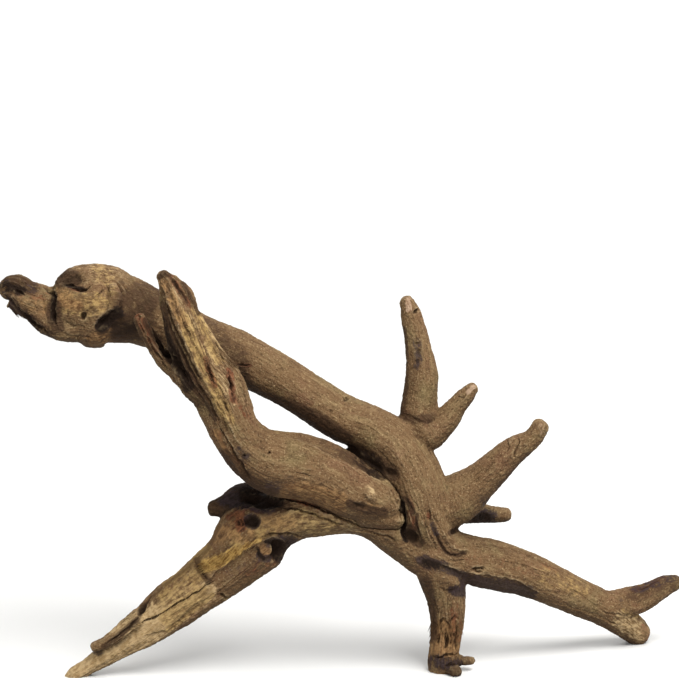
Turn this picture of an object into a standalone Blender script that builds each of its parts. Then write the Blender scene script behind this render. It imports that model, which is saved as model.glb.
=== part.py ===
"""Aquarium driftwood: one weathered root with a low trunk, a long upper limb that ends in a burl, a broken
splintered limb in front of it, three feet and four prongs.

The piece is drawn from the front, looking down on it a little. Each limb is a row of stations along its
middle line, and a station says where it is seen and how far back it lies. All distances in the tables are
millimetres.
"""

import math

import bmesh
import bpy
import numpy as np
from mathutils import Matrix, Vector

MM = 0.001
LENGTH = 0.317             # the whole piece, from the broken snag to the tip of the right leg
DRAWN_LENGTH = 317.0       # the same length in the tables below
DRAWN_MIDDLE = (152.8, 152.5)  # the point of the drawing that the eye looks at, across and up
EYE_DISTANCE = 1528.0      # from the eye to the piece
EYE_TILT = math.radians(15)    # how far the eye looks down
EYE_HEIGHT = 161.2         # of the point looked at, above the ground
BOX_MIDDLE = (3.6, 16.0)   # the middle of the finished piece, across and from front to back
GAP = 0.3                  # left between two pieces at a fork
RING_STEP = 3.0            # between two rings of a limb
RING_POINTS = 24           # round a limb
END_REACH = 0.7            # how far a rounded end stands out, in half widths
END_TURNS = (25, 50, 75)   # the rings of a rounded end, in degrees
VOXEL = 1.25               # grid that the limbs are fused on
SOFTENING = 5              # rounds of smoothing where limbs meet
SHARP = math.radians(50)   # edges sharper than this stay crisp
GROUND = (400, 300, 50)    # the block that is cut away below the feet
ROOT_FACES = 5900          # triangles of the root without its broken limb
BROKEN_FACES = 1900        # triangles of the broken limb

# Each station: across, up, back, half the width seen, half the thickness from front to back.
LIMBS = {
    "main": [
        (3.0, 174.7, 21, 5.0, 5.0),
        (6.0, 174.9, 21, 7.8, 7.5),
        (11.3, 170.9, 21, 8.8, 8.5),
        (18.1, 168.2, 21, 9.3, 9.0),
        (23.6, 166.4, 21, 11.0, 10.5),
        (29.5, 167.0, 21, 14.9, 13.0),
        (36.0, 168.0, 21, 18.2, 15.0),
        (42.8, 167.5, 21, 19.6, 16.0),
        (48.6, 167.7, 21, 18.3, 15.0),
        (53.9, 166.4, 22, 16.5, 13.5),
        (60.7, 164.7, 23, 15.1, 12.5),
        (67.5, 161.8, 24, 13.7, 12.0),
        (78.8, 157.2, 24, 12.3, 11.5),
        (92.4, 150.3, 23, 12.2, 11.5),
        (105.9, 145.0, 22, 11.9, 11.5),
        (116.5, 139.9, 21, 11.4, 11.0),
        (134.7, 129.1, 18, 10.7, 11.0),
        (152.9, 117.7, 15, 10.8, 11.0),
        (168.6, 110.7, 13, 11.3, 12.0),
        (179.8, 101.8, 11, 12.6, 13.5),
        (187.6, 86.8, 10, 14.0, 15.0),
        (193.4, 67.6, 11, 12.6, 15.0),
        (199.6, 59.2, 12.5, 10.8, 13.5),
        (209.0, 54.0, 14, 11.5, 12.0),
        (224.8, 50.2, 18, 11.7, 10.5),
        (238.6, 46.0, 23, 10.5, 9.5),
        (256.7, 37.7, 30, 9.2, 8.5),
        (270.2, 31.9, 37, 8.4, 8.0),
        (280.2, 25.9, 42, 7.8, 7.0),
        (287.8, 19.5, 46, 6.3, 5.5),
    ],
    "front": [
        (73.1, 181.2, -9, 3.5, 3.4),
        (78.7, 172.2, -9, 8.5, 6.8),
        (81.1, 163.0, -9, 9.3, 8.2),
        (86.3, 149.7, -9, 11.6, 9.5),
        (90.7, 138.5, -9, 13.7, 10.5),
        (97.4, 130.3, -8, 13.4, 11.5),
        (101.4, 121.8, -7, 12.7, 12.0),
        (106.1, 110.6, -6, 11.6, 12.5),
        (113.8, 102.0, -5, 13.0, 13.0),
        (123.7, 96.8, -4, 15.1, 13.5),
        (135.0, 95.0, -3, 15.2, 13.5),
        (147.6, 90.9, -2, 14.6, 13.5),
        (158.4, 85.0, -1, 13.6, 13.0),
        (167.4, 81.0, 0, 11.6, 12.0),
        (173.2, 78.4, 2, 8.8, 9.6),
    ],
    "corner": [
        (163.6, 74.6, 0, 7.0, 9.0),
        (172.8, 72.2, 1, 6.0, 8.0),
        (178.4, 70.9, 2, 4.6, 6.5),
    ],
    "low": [
        (190.8, 58.4, 10, 13.0, 12.0),
        (180.6, 63.8, 9, 10.8, 12.0),
        (167.6, 71.9, 8, 9.8, 12.0),
        (155.2, 75.9, 7, 11.6, 12.0),
        (144.0, 75.4, 6, 12.1, 12.0),
        (134.1, 74.0, 6, 12.4, 12.0),
        (123.6, 70.2, 5, 14.0, 12.0),
        (113.6, 63.0, 4, 17.8, 12.0),
        (104.7, 53.0, 4, 14.5, 10.5),
        (94.9, 45.1, 4, 13.4, 9.0),
        (85.5, 37.8, 3, 12.1, 8.0),
        (74.7, 30.5, 3, 11.5, 7.0),
        (65.1, 22.6, 2, 9.5, 6.0),
        (55.8, 16.2, 2, 7.3, 5.0),
        (47.0, 9.9, 1, 5.7, 4.5),
        (39.3, 4.8, 1, 4.4, 4.0),
        (34.8, 2.0, 0, 4.3, 3.6),
        (31.8, -0.4, 0, 3.6, 3.2),
    ],
    "foot": [
        (197.0, 58.2, 8, 13.9, 12.0),
        (198.8, 46.4, 8, 11.3, 10.5),
        (200.5, 35.9, 8, 9.6, 9.0),
        (201.0, 25.2, 8, 8.4, 8.0),
        (200.0, 15.0, 8, 7.6, 7.5),
        (199.3, 8.6, 8, 7.5, 7.2),
        (199.0, 3.2, 8, 6.9, 6.8),
    ],
    "tall": [
        (188.8, 111.4, 17, 10.4, 9.0),
        (189.0, 125.1, 18, 8.3, 8.0),
        (189.8, 136.4, 18, 7.5, 7.0),
        (188.1, 149.8, 19, 6.1, 5.8),
        (185.1, 163.3, 20, 4.9, 4.6),
        (182.9, 169.8, 20, 3.2, 3.2),
    ],
    "short": [
        (192.6, 109.8, 13, 8.2, 8.5),
        (200.7, 116.3, 12, 6.5, 6.4),
        (205.4, 122.1, 11, 5.0, 5.0),
        (210.1, 127.4, 10, 4.1, 4.2),
        (212.9, 131.0, 10, 3.0, 3.0),
    ],
    "long": [
        (200.4, 77.6, 12, 12.2, 12.0),
        (208.5, 82.6, 12, 11.4, 10.5),
        (216.0, 88.6, 11, 8.9, 8.8),
        (223.9, 96.0, 10, 7.5, 7.6),
        (231.7, 102.7, 9, 6.4, 6.4),
        (239.3, 107.5, 8, 4.7, 4.8),
        (243.4, 113.6, 8, 4.2, 4.0),
    ],
    "stub": [
        (207.0, 75.6, 24, 6.9, 7.0),
        (216.9, 74.0, 30, 4.8, 5.0),
        (222.8, 73.4, 34, 4.0, 4.0),
        (227.7, 73.5, 37, 3.4, 3.4),
    ],
    "upturned": [
        (272.2, 31.8, 36, 6.9, 6.5),
        (281.2, 33.9, 39, 7.2, 6.4),
        (288.0, 35.5, 41, 6.9, 5.8),
        (294.7, 38.9, 43, 5.7, 5.0),
        (300.4, 41.9, 45, 4.8, 4.4),
        (304.6, 43.1, 46, 3.7, 3.6),
    ],
    "knob": [
        (115.0, 73.8, 11, 13.2, 9.0),
        (109.8, 79.4, 13, 9.1, 8.5),
        (101.6, 77.0, 13, 5.9, 6.0),
        (95.8, 76.1, 13, 4.1, 3.8),
    ],
    "sliver": [
        (62.6, 161.8, -3, 3.5, 3.2),
        (67.4, 153.0, -4, 4.2, 4.0),
        (73.2, 144.4, -5, 4.5, 4.6),
        (80.4, 135.6, -6, 4.4, 5.0),
        (88.3, 127.1, -6, 4.0, 6.0),
    ],
    "second_tip": [
        (63.0, 27.0, 0, 5.4, 5.0),
        (54.6, 20.9, -1, 4.1, 4.0),
        (48.3, 16.1, -2, 3.4, 3.4),
        (42.2, 13.7, -2, 2.9, 2.8),
    ],
    "saddle": [
        (154.2, 100.3, 8, 3.0, 5.0),
        (160.0, 98.6, 9, 5.6, 8.0),
        (168.0, 96.0, 10, 8.5, 10.0),
        (178.0, 92.0, 10, 10.0, 12.0),
    ],
    "rim": [
        (50.8, 176.0, 10, 2.4, 2.6),
        (52.0, 171.5, 8.5, 3.2, 3.4),
        (51.0, 166.4, 7.5, 3.4, 3.6),
        (47.0, 160.6, 8.5, 2.8, 3.0),
    ],
    "jaw": [
        (16.4, 164.4, 18, 6.0, 6.0),
        (21.4, 160.9, 16, 7.1, 7.0),
        (29.5, 158.1, 15, 7.3, 8.0),
        (38.6, 156.5, 16, 6.3, 8.0),
        (41.4, 153.4, 17, 5.2, 6.6),
        (43.4, 150.5, 17, 2.8, 4.2),
    ],
    "side_toe": [
        (202.0, 8.2, 7, 3.9, 4.5),
        (207.9, 7.8, 7, 2.5, 3.0),
        (212.6, 7.8, 7, 2.1, 2.4),
    ],
    "front_toe": [
        (201.0, 5.4, 5, 3.6, 4.2),
        (203.6, 4.0, 2, 3.3, 3.9),
        (205.6, 2.5, 0, 2.9, 3.0),
    ],
}

# The limbs of the broken piece; all others are fused into the root.
BROKEN = ("front", "corner", "sliver")

# Long ridges and furrows of the grain: limb, from and to along it, how many round it, depth.
FURROWS = [
    ("front", 0, 72, 11, 1.5),
    ("front", 72, 150, 7, 0.5),
    ("low", 70, 200, 8, 0.9),
    ("foot", 15, 60, 7, 0.8),
    ("main", 190, 260, 8, 0.7),
    ("main", 0, 26, 7, 1.0),
]

# Knot holes and hollows in the side that faces the eye: limb, across, up, half width, half height, depth.
HOLLOWS = [
    ("main", 33.0, 175.6, 5.4, 2.6, 2.2),
    ("main", 48.4, 159.6, 5.0, 3.6, 3.6),
    ("main", 38.0, 163.6, 2.6, 2.0, 2.0),
    ("main", 215.3, 48.8, 4.0, 2.0, 2.4),
    ("low", 110.9, 70.6, 5.4, 4.0, 4.0),
    ("low", 121.0, 57.6, 5.0, 4.0, 3.4),
]

# Cracks in the side that faces the eye: limb, half width, depth, then the line that they follow.
CRACKS = [
    ("main", 1.6, 2.4, [(22.5, 176.0), (25.2, 171.5), (24.3, 165.6), (25.7, 159.8)]),
    ("low", 1.6, 2.0, [(93.6, 43.2), (81.0, 34.2), (65.2, 24.3)]),
]

# The forks where the root is split: the piece beyond, the middle of the cut (across, up, back), the way the
# cut faces in the drawing, and its radius.
FORKS = [
    ("upper_limb", (158.4, 115.6, 14.5), (-0.92, 0.40), 13.4),
    ("left_leg", (120.0, 68.0, 5), (-1.0, -0.10), 20.0),
    ("right_leg", (219.0, 52.8, 17), (0.95, -0.30), 14.5),
    ("centre_foot", (200.6, 36.0, 8), (0.0, -1.0), 12.5),
    ("tall_prong", (189.2, 124.8, 18), (-0.20, 0.98), 9.6),
    ("short_prong", (203.6, 120.9, 11.5), (0.66, 0.75), 6.6),
    ("long_prong", (212.6, 86.2, 11.5), (0.76, 0.65), 12.6),
    ("back_stub", (218.4, 73.9, 31), (0.92, -0.10), 6.8),
]

# Roughly the middle of each piece of the root, in the drawing, by which the piece is named.
MIDDLES = {
    "trunk": (172, 78, 8),
    "upper_limb": (80, 157, 22),
    "left_leg": (90, 45, 4),
    "right_leg": (248, 42, 28),
    "centre_foot": (200, 18, 10),
    "tall_prong": (188, 145, 19),
    "short_prong": (208, 126, 10),
    "long_prong": (227, 99, 10),
    "back_stub": (224, 74, 34),
}

# Bare wood by piece: colour (0 to 1, linear), and how rough it is.
WOOD = {
    "trunk": ((0.185, 0.128, 0.078), 0.82),
    "upper_limb": ((0.200, 0.140, 0.088), 0.80),
    "front_limb": ((0.230, 0.160, 0.090), 0.84),
    "left_leg": ((0.240, 0.180, 0.090), 0.86),
    "right_leg": ((0.175, 0.122, 0.078), 0.82),
    "centre_foot": ((0.190, 0.120, 0.065), 0.86),
    "tall_prong": ((0.180, 0.130, 0.080), 0.80),
    "short_prong": ((0.180, 0.130, 0.080), 0.80),
    "long_prong": ((0.185, 0.135, 0.082), 0.80),
    "back_stub": ((0.130, 0.092, 0.058), 0.84),
}


def from_drawing(across, up, back):
    """The point, in millimetres, that is seen at this place of the drawing and lies this far back."""
    seen_x = across - DRAWN_MIDDLE[0]
    seen_z = up - DRAWN_MIDDLE[1]
    down = math.sin(EYE_TILT)
    ahead = math.cos(EYE_TILT)
    z = (seen_z * (1 + back * ahead / EYE_DISTANCE) - back * down) / (ahead + seen_z * down / EYE_DISTANCE)
    x = seen_x * (1 + (back * ahead - z * down) / EYE_DISTANCE)
    return Vector((x, back, z + EYE_HEIGHT))


def to_drawing(points):
    """Where points in millimetres are seen in the drawing, across and up."""
    high = points[:, 2] - EYE_HEIGHT
    up = points[:, 1] * math.sin(EYE_TILT) + high * math.cos(EYE_TILT)
    away = points[:, 1] * math.cos(EYE_TILT) - high * math.sin(EYE_TILT)
    nearness = EYE_DISTANCE / (EYE_DISTANCE + away)
    return np.stack([points[:, 0] * nearness, up * nearness], axis=1) + DRAWN_MIDDLE


def eye():
    """Where the eye is, in millimetres."""
    return np.array([0, -EYE_DISTANCE * math.cos(EYE_TILT), EYE_HEIGHT + EYE_DISTANCE * math.sin(EYE_TILT)])


def unit(vectors):
    """The vectors at length one."""
    return vectors / np.linalg.norm(vectors, axis=1, keepdims=True)


def limb_path(name):
    """A smooth curve through a limb's stations: its points, and half its width and thickness at each."""
    rows = np.array([(*from_drawing(*station[:3]), *station[3:]) for station in LIMBS[name]])
    ends = np.vstack([2 * rows[0] - rows[1], rows, 2 * rows[-1] - rows[-2]])
    path = []
    for n in range(len(rows) - 1):
        p0, p1, p2, p3 = ends[n:n + 4]
        pieces = max(1, round(float(np.linalg.norm((p2 - p1)[:3])) / RING_STEP))
        for t in np.arange(pieces) / pieces:
            bend = 2 * p0 - 5 * p1 + 4 * p2 - p3
            twist = 3 * (p1 - p2) + p3 - p0
            path.append(0.5 * (2 * p1 + (p2 - p0) * t + bend * t ** 2 + twist * t ** 3))
    path.append(rows[-1])
    path = np.array(path)
    return path[:, :3], path[:, 3:]


def limb_frames(points):
    """The way a limb runs at each of its points, the way across it in the drawing, and the way to the eye."""
    along = unit(np.gradient(points, axis=0))
    side = unit(np.cross(along, eye() - points))
    return along, side, np.cross(side, along)


def limb_mesh(bm, name):
    """Adds a closed limb: oval rings along its path, with rounded ends."""
    points, sizes = limb_path(name)
    along, side, front = limb_frames(points)
    rings = [(points[n], n, 1.0) for n in range(len(points))]
    for turn in END_TURNS:
        shrink = math.cos(math.radians(turn))
        reach = END_REACH * math.sin(math.radians(turn))
        rings.insert(0, (points[0] - along[0] * sizes[0][0] * reach, 0, shrink))
        rings.append((points[-1] + along[-1] * sizes[-1][0] * reach, -1, shrink))
    turns = 2 * np.pi * np.arange(RING_POINTS) / RING_POINTS
    loops = []
    for middle, n, shrink in rings:
        wide = side[n] * sizes[n][0] * shrink
        thick = front[n] * sizes[n][1] * shrink
        loops.append([bm.verts.new(middle + wide * math.cos(t) + thick * math.sin(t)) for t in turns])
    faces = [bm.faces.new(loops[0]), bm.faces.new(reversed(loops[-1]))]
    for loop, following in zip(loops, loops[1:]):
        for n in range(RING_POINTS):
            m = (n + 1) % RING_POINTS
            faces.append(bm.faces.new((loop[m], loop[n], following[n], following[m])))
    bmesh.ops.recalc_face_normals(bm, faces=faces)


def place_on_limb(points, name):
    """How far along the limb each point lies, its turn round it, and how far out (1 on its surface)."""
    middle, sizes = limb_path(name)
    along, side, front = limb_frames(middle)
    lengths = np.concatenate([[0], np.cumsum(np.linalg.norm(np.diff(middle, axis=0), axis=1))])
    away = points[:, None, :] - middle[None, :, :]
    nearest = np.argmin((away ** 2).sum(axis=2), axis=1)
    away = away[np.arange(len(points)), nearest]
    wide = (away * side[nearest]).sum(axis=1) / sizes[nearest, 0]
    thick = (away * front[nearest]).sum(axis=1) / sizes[nearest, 1]
    ahead = (away * along[nearest]).sum(axis=1)
    out = np.sqrt(wide ** 2 + thick ** 2 + (ahead / sizes[nearest, 0]) ** 2)
    return lengths[nearest] + ahead, np.arctan2(thick, wide), out


def soft_step(value, start, end):
    """0 before start, 1 after end, and smooth between them."""
    t = np.clip((value - start) / (end - start), 0, 1)
    return t * t * (3 - 2 * t)


def furrow_depth(points, name, start, end, count, depth):
    """Long ridges that wander a little as they run along the limb."""
    length, turn, out = place_on_limb(points, name)
    wander = 0.9 * np.sin(length / 19 + count) + 0.5 * np.sin(length / 7.3 + 2 * count)
    fine = np.abs(np.sin(0.5 * (count * turn + wander)))
    broad = np.abs(np.sin(0.5 * ((count // 2) * turn - wander + 1.3)))
    near = 1 - soft_step(out, 1.1, 1.35)
    span = soft_step(length, start - 4, start + 4) * (1 - soft_step(length, end - 8, end + 8))
    return depth * near * span * (1 - 0.6 * fine - 0.4 * broad)


def seen_from_front(points, normals):
    """1 where the surface faces the eye, 0 where it turns away."""
    return soft_step((normals * unit(eye() - points)).sum(axis=1), 0.1, 0.45)


def hollow_depth(points, normals, name, across, up, wide, tall, depth):
    """A round-edged hollow."""
    seen = to_drawing(points)
    away = np.hypot((seen[:, 0] - across) / wide, (seen[:, 1] - up) / tall)
    near = 1 - soft_step(place_on_limb(points, name)[2], 1.15, 1.5)
    return depth * near * seen_from_front(points, normals) * (1 - soft_step(away, 0.3, 1.0))


def crack_depth(points, normals, name, wide, depth, line):
    """A crack along a line of the drawing."""
    seen = to_drawing(points)
    away = np.full(len(points), np.inf)
    for start, end in zip(np.array(line), np.array(line[1:])):
        t = np.clip(((seen - start) @ (end - start)) / ((end - start) @ (end - start)), 0, 1)
        away = np.minimum(away, np.linalg.norm(seen - start - t[:, None] * (end - start), axis=1))
    near = 1 - soft_step(place_on_limb(points, name)[2], 1.15, 1.5)
    return depth * near * seen_from_front(points, normals) * (1 - soft_step(away, 0.2 * wide, wide))


def carve(mesh):
    """Presses the furrows, hollows and cracks into a fused mesh."""
    points = np.empty(len(mesh.vertices) * 3)
    normals = np.empty_like(points)
    mesh.vertices.foreach_get("co", points)
    mesh.vertex_normals.foreach_get("vector", normals)
    points = points.reshape(-1, 3)
    normals = normals.reshape(-1, 3)
    depth = np.zeros(len(points))
    for furrow in FURROWS:
        depth += furrow_depth(points, *furrow)
    for hollow in HOLLOWS:
        depth += hollow_depth(points, normals, *hollow)
    for crack in CRACKS:
        depth += crack_depth(points, normals, *crack)
    mesh.vertices.foreach_set("co", (points - normals * depth[:, None]).ravel())
    mesh.update()


def clear_scene():
    """Takes away whatever the file held before."""
    for thing in list(bpy.data.objects):
        bpy.data.objects.remove(thing)


def new_collection(name):
    """A collection in the scene."""
    made = bpy.data.collections.new(name)
    bpy.context.scene.collection.children.link(made)
    return made


def new_object(bm, name, collection):
    """An object from a bmesh, which is freed."""
    mesh = bpy.data.meshes.new(name)
    bm.to_mesh(mesh)
    bm.free()
    thing = bpy.data.objects.new(name, mesh)
    collection.objects.link(thing)
    return thing


def apply_modifiers(thing):
    """Puts the modifiers' result into the object's mesh and takes them off."""
    evaluated = thing.evaluated_get(bpy.context.evaluated_depsgraph_get())
    mesh = bpy.data.meshes.new_from_object(evaluated)
    thing.modifiers.clear()
    thing.data = mesh


def fused(name, limbs, faces, collection):
    """The limbs grown together into one closed skin, carved, with about this many triangles."""
    bm = bmesh.new()
    for limb in limbs:
        limb_mesh(bm, limb)
    wood = new_object(bm, name, collection)
    fuse = wood.modifiers.new("fuse", "REMESH")
    fuse.mode = "VOXEL"
    fuse.voxel_size = VOXEL
    soften = wood.modifiers.new("soften", "SMOOTH")
    soften.factor = 0.5
    soften.iterations = SOFTENING
    apply_modifiers(wood)
    carve(wood.data)
    thin = wood.modifiers.new("thin", "DECIMATE")
    thin.ratio = faces / (2 * len(wood.data.polygons))
    thin.use_collapse_triangulate = True
    apply_modifiers(wood)
    return wood


def as_cutter(thing):
    """Marks an object as a tool that only cuts."""
    thing.hide_render = True
    thing.display_type = "WIRE"
    return thing


def cut(wood, cutter):
    """Takes the cutter's shape out of the wood."""
    taken = wood.modifiers.new(cutter.name, "BOOLEAN")
    taken.operation = "DIFFERENCE"
    taken.solver = "EXACT"
    taken.object = cutter
    apply_modifiers(wood)


def swollen_copy(wood, collection):
    """A cutter that stands proud of the wood by the gap."""
    copy = as_cutter(bpy.data.objects.new(wood.name + "_room", wood.data.copy()))
    collection.objects.link(copy)
    swell = copy.modifiers.new("swell", "DISPLACE")
    swell.strength = GAP
    swell.mid_level = 0
    apply_modifiers(copy)
    return copy


def fork_disc(name, middle, facing, radius, collection):
    """A thin round cutter across a fork."""
    here = from_drawing(*middle)
    there = from_drawing(middle[0] + facing[0], middle[1] + facing[1], middle[2])
    turn = (there - here).to_track_quat("Z", "Y")
    bm = bmesh.new()
    place = Matrix.Translation(here) @ turn.to_matrix().to_4x4()
    round_cut = {"cap_ends": True, "segments": 32, "radius1": radius, "radius2": radius, "depth": GAP}
    bmesh.ops.create_cone(bm, matrix=place, **round_cut)
    return as_cutter(new_object(bm, name + "_cut", collection))


def ground_block(collection):
    """Everything below the ground."""
    bm = bmesh.new()
    place = Matrix.Translation((0, 0, -GROUND[2] / 2)) @ Matrix.Diagonal((*GROUND, 1))
    bmesh.ops.create_cube(bm, size=1.0, matrix=place)
    return as_cutter(new_object(bm, "ground_cut", collection))


def loose_parts(wood):
    """Splits the wood where it no longer hangs together, and returns a bmesh for each part."""
    whole = bmesh.new()
    whole.from_mesh(wood.data)
    left = set(whole.verts)
    parts = []
    while left:
        found = {left.pop()}
        edge_of_search = list(found)
        while edge_of_search:
            vertex = edge_of_search.pop()
            for edge in vertex.link_edges:
                other = edge.other_vert(vertex)
                if other in left:
                    left.discard(other)
                    found.add(other)
                    edge_of_search.append(other)
        part = whole.copy()
        part.verts.ensure_lookup_table()
        kept = {vertex.index for vertex in found}
        others = [vertex for vertex in part.verts if vertex.index not in kept]
        bmesh.ops.delete(part, geom=others, context="VERTS")
        parts.append(part)
    whole.free()
    return parts


def name_of(part):
    """The name of the piece whose middle is nearest to the part's own."""
    middle = sum((vertex.co for vertex in part.verts), Vector()) / len(part.verts)
    return min(MIDDLES, key=lambda name: (from_drawing(*MIDDLES[name]) - middle).length)


def wood_material(name):
    """Bare wood in the piece's colour."""
    colour, roughness = WOOD[name]
    made = bpy.data.materials.new(name + "_wood")
    made.use_nodes = True
    shader = made.node_tree.nodes["Principled BSDF"]
    shader.inputs["Base Color"].default_value = (*colour, 1)
    shader.inputs["Roughness"].default_value = roughness
    shader.inputs["Metallic"].default_value = 0
    made.diffuse_color = (*colour, 1)
    return made


def finish(piece):
    """Real size, the origin under the middle of the whole, wood, and smooth shading."""
    scale = LENGTH / DRAWN_LENGTH
    move = Matrix.Translation((-BOX_MIDDLE[0], -BOX_MIDDLE[1], 0))
    piece.data.transform(Matrix.Scale(scale, 4) @ move)
    piece.data.materials.clear()
    piece.data.materials.append(wood_material(piece.name))
    piece.data.shade_smooth()
    piece.data.set_sharp_from_angle(angle=SHARP)


def main():
    clear_scene()
    driftwood = new_collection("driftwood")
    cutters = new_collection("cutters")
    root = fused("root", [limb for limb in LIMBS if limb not in BROKEN], ROOT_FACES, driftwood)
    broken = fused("front_limb", BROKEN, BROKEN_FACES, driftwood)
    cut(root, swollen_copy(broken, cutters))
    cut(root, ground_block(cutters))
    for fork in FORKS:
        cut(root, fork_disc(*fork, cutters))
    pieces = [broken]
    for part in loose_parts(root):
        pieces.append(new_object(part, name_of(part), driftwood))
    bpy.data.objects.remove(root)
    for piece in pieces:
        finish(piece)


main()
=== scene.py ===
# %% [markdown]
# # A root of aquarium driftwood
# This notebook dresses one weathered root: a low trunk, a long upper limb that ends in a burl and a
# broken snag, a splintered limb in front of it, three feet and four prongs. The solids that carry it are
# already made. Here every limb gets its real surface: grain, splits, knot holes, rot, stains and loose
# fibres. The first step is to load the solids. They are a fixed frame: nothing here moves or resizes
# them.

# %% The solids are the frame
import math

import bmesh
import bpy
import numpy as np
from mathutils import Matrix, Vector
from mathutils.kdtree import KDTree


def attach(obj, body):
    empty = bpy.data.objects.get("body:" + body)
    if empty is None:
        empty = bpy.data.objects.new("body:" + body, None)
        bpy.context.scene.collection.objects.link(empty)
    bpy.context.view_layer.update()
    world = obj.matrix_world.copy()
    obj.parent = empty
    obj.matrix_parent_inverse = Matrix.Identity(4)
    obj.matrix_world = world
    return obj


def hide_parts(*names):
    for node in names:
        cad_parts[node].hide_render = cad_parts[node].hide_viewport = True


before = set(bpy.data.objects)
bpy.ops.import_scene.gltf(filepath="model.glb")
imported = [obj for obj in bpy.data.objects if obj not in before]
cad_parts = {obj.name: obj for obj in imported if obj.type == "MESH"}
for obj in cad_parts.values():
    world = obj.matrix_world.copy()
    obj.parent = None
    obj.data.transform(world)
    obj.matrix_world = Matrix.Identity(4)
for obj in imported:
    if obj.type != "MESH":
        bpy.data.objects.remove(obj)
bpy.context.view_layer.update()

MM = 0.001
print("solids:", ", ".join(sorted(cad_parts)))

# %% [markdown]
# ## The eye
# The root is looked at from the front and a little from above, with a long lens, as a seller photographs
# a piece on a table. The camera could be turned until the picture looks right, but here it comes from the
# same few numbers that the limbs are drawn with, so each limb lands where it was drawn. A long lens far
# away keeps the near limbs from looking larger than they are.

# %% The camera
EYE_DISTANCE = 1528.0          # millimetres from the eye to the piece
EYE_TILT = math.radians(15)    # how far the eye looks down
EYE_HEIGHT = 161.2             # of the point looked at, above the ground
BOX_MIDDLE = (3.6, 16.0)       # the middle of the piece, across and from front to back
LENS = 180.0                   # focal length in millimetres on a 36 mm wide sensor
SENSOR = 36.0

aim = Vector((-BOX_MIDDLE[0], -BOX_MIDDLE[1], EYE_HEIGHT)) * MM
away = Vector((0, -math.cos(EYE_TILT), math.sin(EYE_TILT))) * EYE_DISTANCE * MM
camera = bpy.data.objects.new("camera", bpy.data.cameras.new("camera"))
bpy.context.scene.collection.objects.link(camera)
camera.location = aim + away
camera.rotation_euler = (math.radians(90) - EYE_TILT, 0, 0)
camera.data.lens = LENS
camera.data.sensor_width = SENSOR
bpy.context.scene.camera = camera
print("camera at, mm:", [round(side / MM) for side in camera.location])

# %% [markdown]
# ## A drawing in depth
# A root has no axis and no symmetry, so it is drawn, limb by limb, as one would trace it on paper. A
# place in the drawing is across and up in millimetres, and each station adds how far back it lies. The
# function below runs the perspective backwards: it finds the point in space that is seen at that place of
# the drawing. The other function goes the other way, from points in space to the photograph's pixels, and
# is used to place knots, cracks and stains where they are seen.

# %% From the drawing to space, and from space to the picture
DRAWN_MIDDLE = (152.8, 152.5)  # the point of the drawing that the eye looks at, across and up
PIXEL = 0.45                   # millimetres of the drawing for one pixel of the photograph
PICTURE_HEIGHT = 678           # the photograph's height in pixels


def from_drawing(across, up, back):
    """The point, in millimetres, that is seen at this place of the drawing and lies this far back."""
    seen_x = across - DRAWN_MIDDLE[0]
    seen_z = up - DRAWN_MIDDLE[1]
    down = math.sin(EYE_TILT)
    ahead = math.cos(EYE_TILT)
    z = (seen_z * (1 + back * ahead / EYE_DISTANCE) - back * down) / (ahead + seen_z * down / EYE_DISTANCE)
    x = seen_x * (1 + (back * ahead - z * down) / EYE_DISTANCE)
    return Vector((x, back, z + EYE_HEIGHT))


def to_picture(points):
    """Where points in millimetres are seen in the photograph, in pixels from its upper left corner."""
    high = points[:, 2] - EYE_HEIGHT
    up = points[:, 1] * math.sin(EYE_TILT) + high * math.cos(EYE_TILT)
    deep = points[:, 1] * math.cos(EYE_TILT) - high * math.sin(EYE_TILT)
    nearness = EYE_DISTANCE / (EYE_DISTANCE + deep)
    across = (points[:, 0] * nearness + DRAWN_MIDDLE[0]) / PIXEL
    return np.stack([across, PICTURE_HEIGHT - (up * nearness + DRAWN_MIDDLE[1]) / PIXEL], axis=1)


def eye():
    """Where the eye is, in millimetres."""
    return np.array([0, -EYE_DISTANCE * math.cos(EYE_TILT), EYE_HEIGHT + EYE_DISTANCE * math.sin(EYE_TILT)])


print("the aim is seen at pixel", to_picture(np.array([[0, 0, EYE_HEIGHT]])).round(1).tolist())

# %% [markdown]
# ## The limbs
# Each limb is a row of stations along its middle line: across, up, back, half the width that is seen and
# half the thickness from front to back, in millimetres. The solids were drawn with the same table, so the
# two agree everywhere. Small forms are limbs too: the burl's rim and jaw, the knob, the toes and the side
# splinter.

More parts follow.
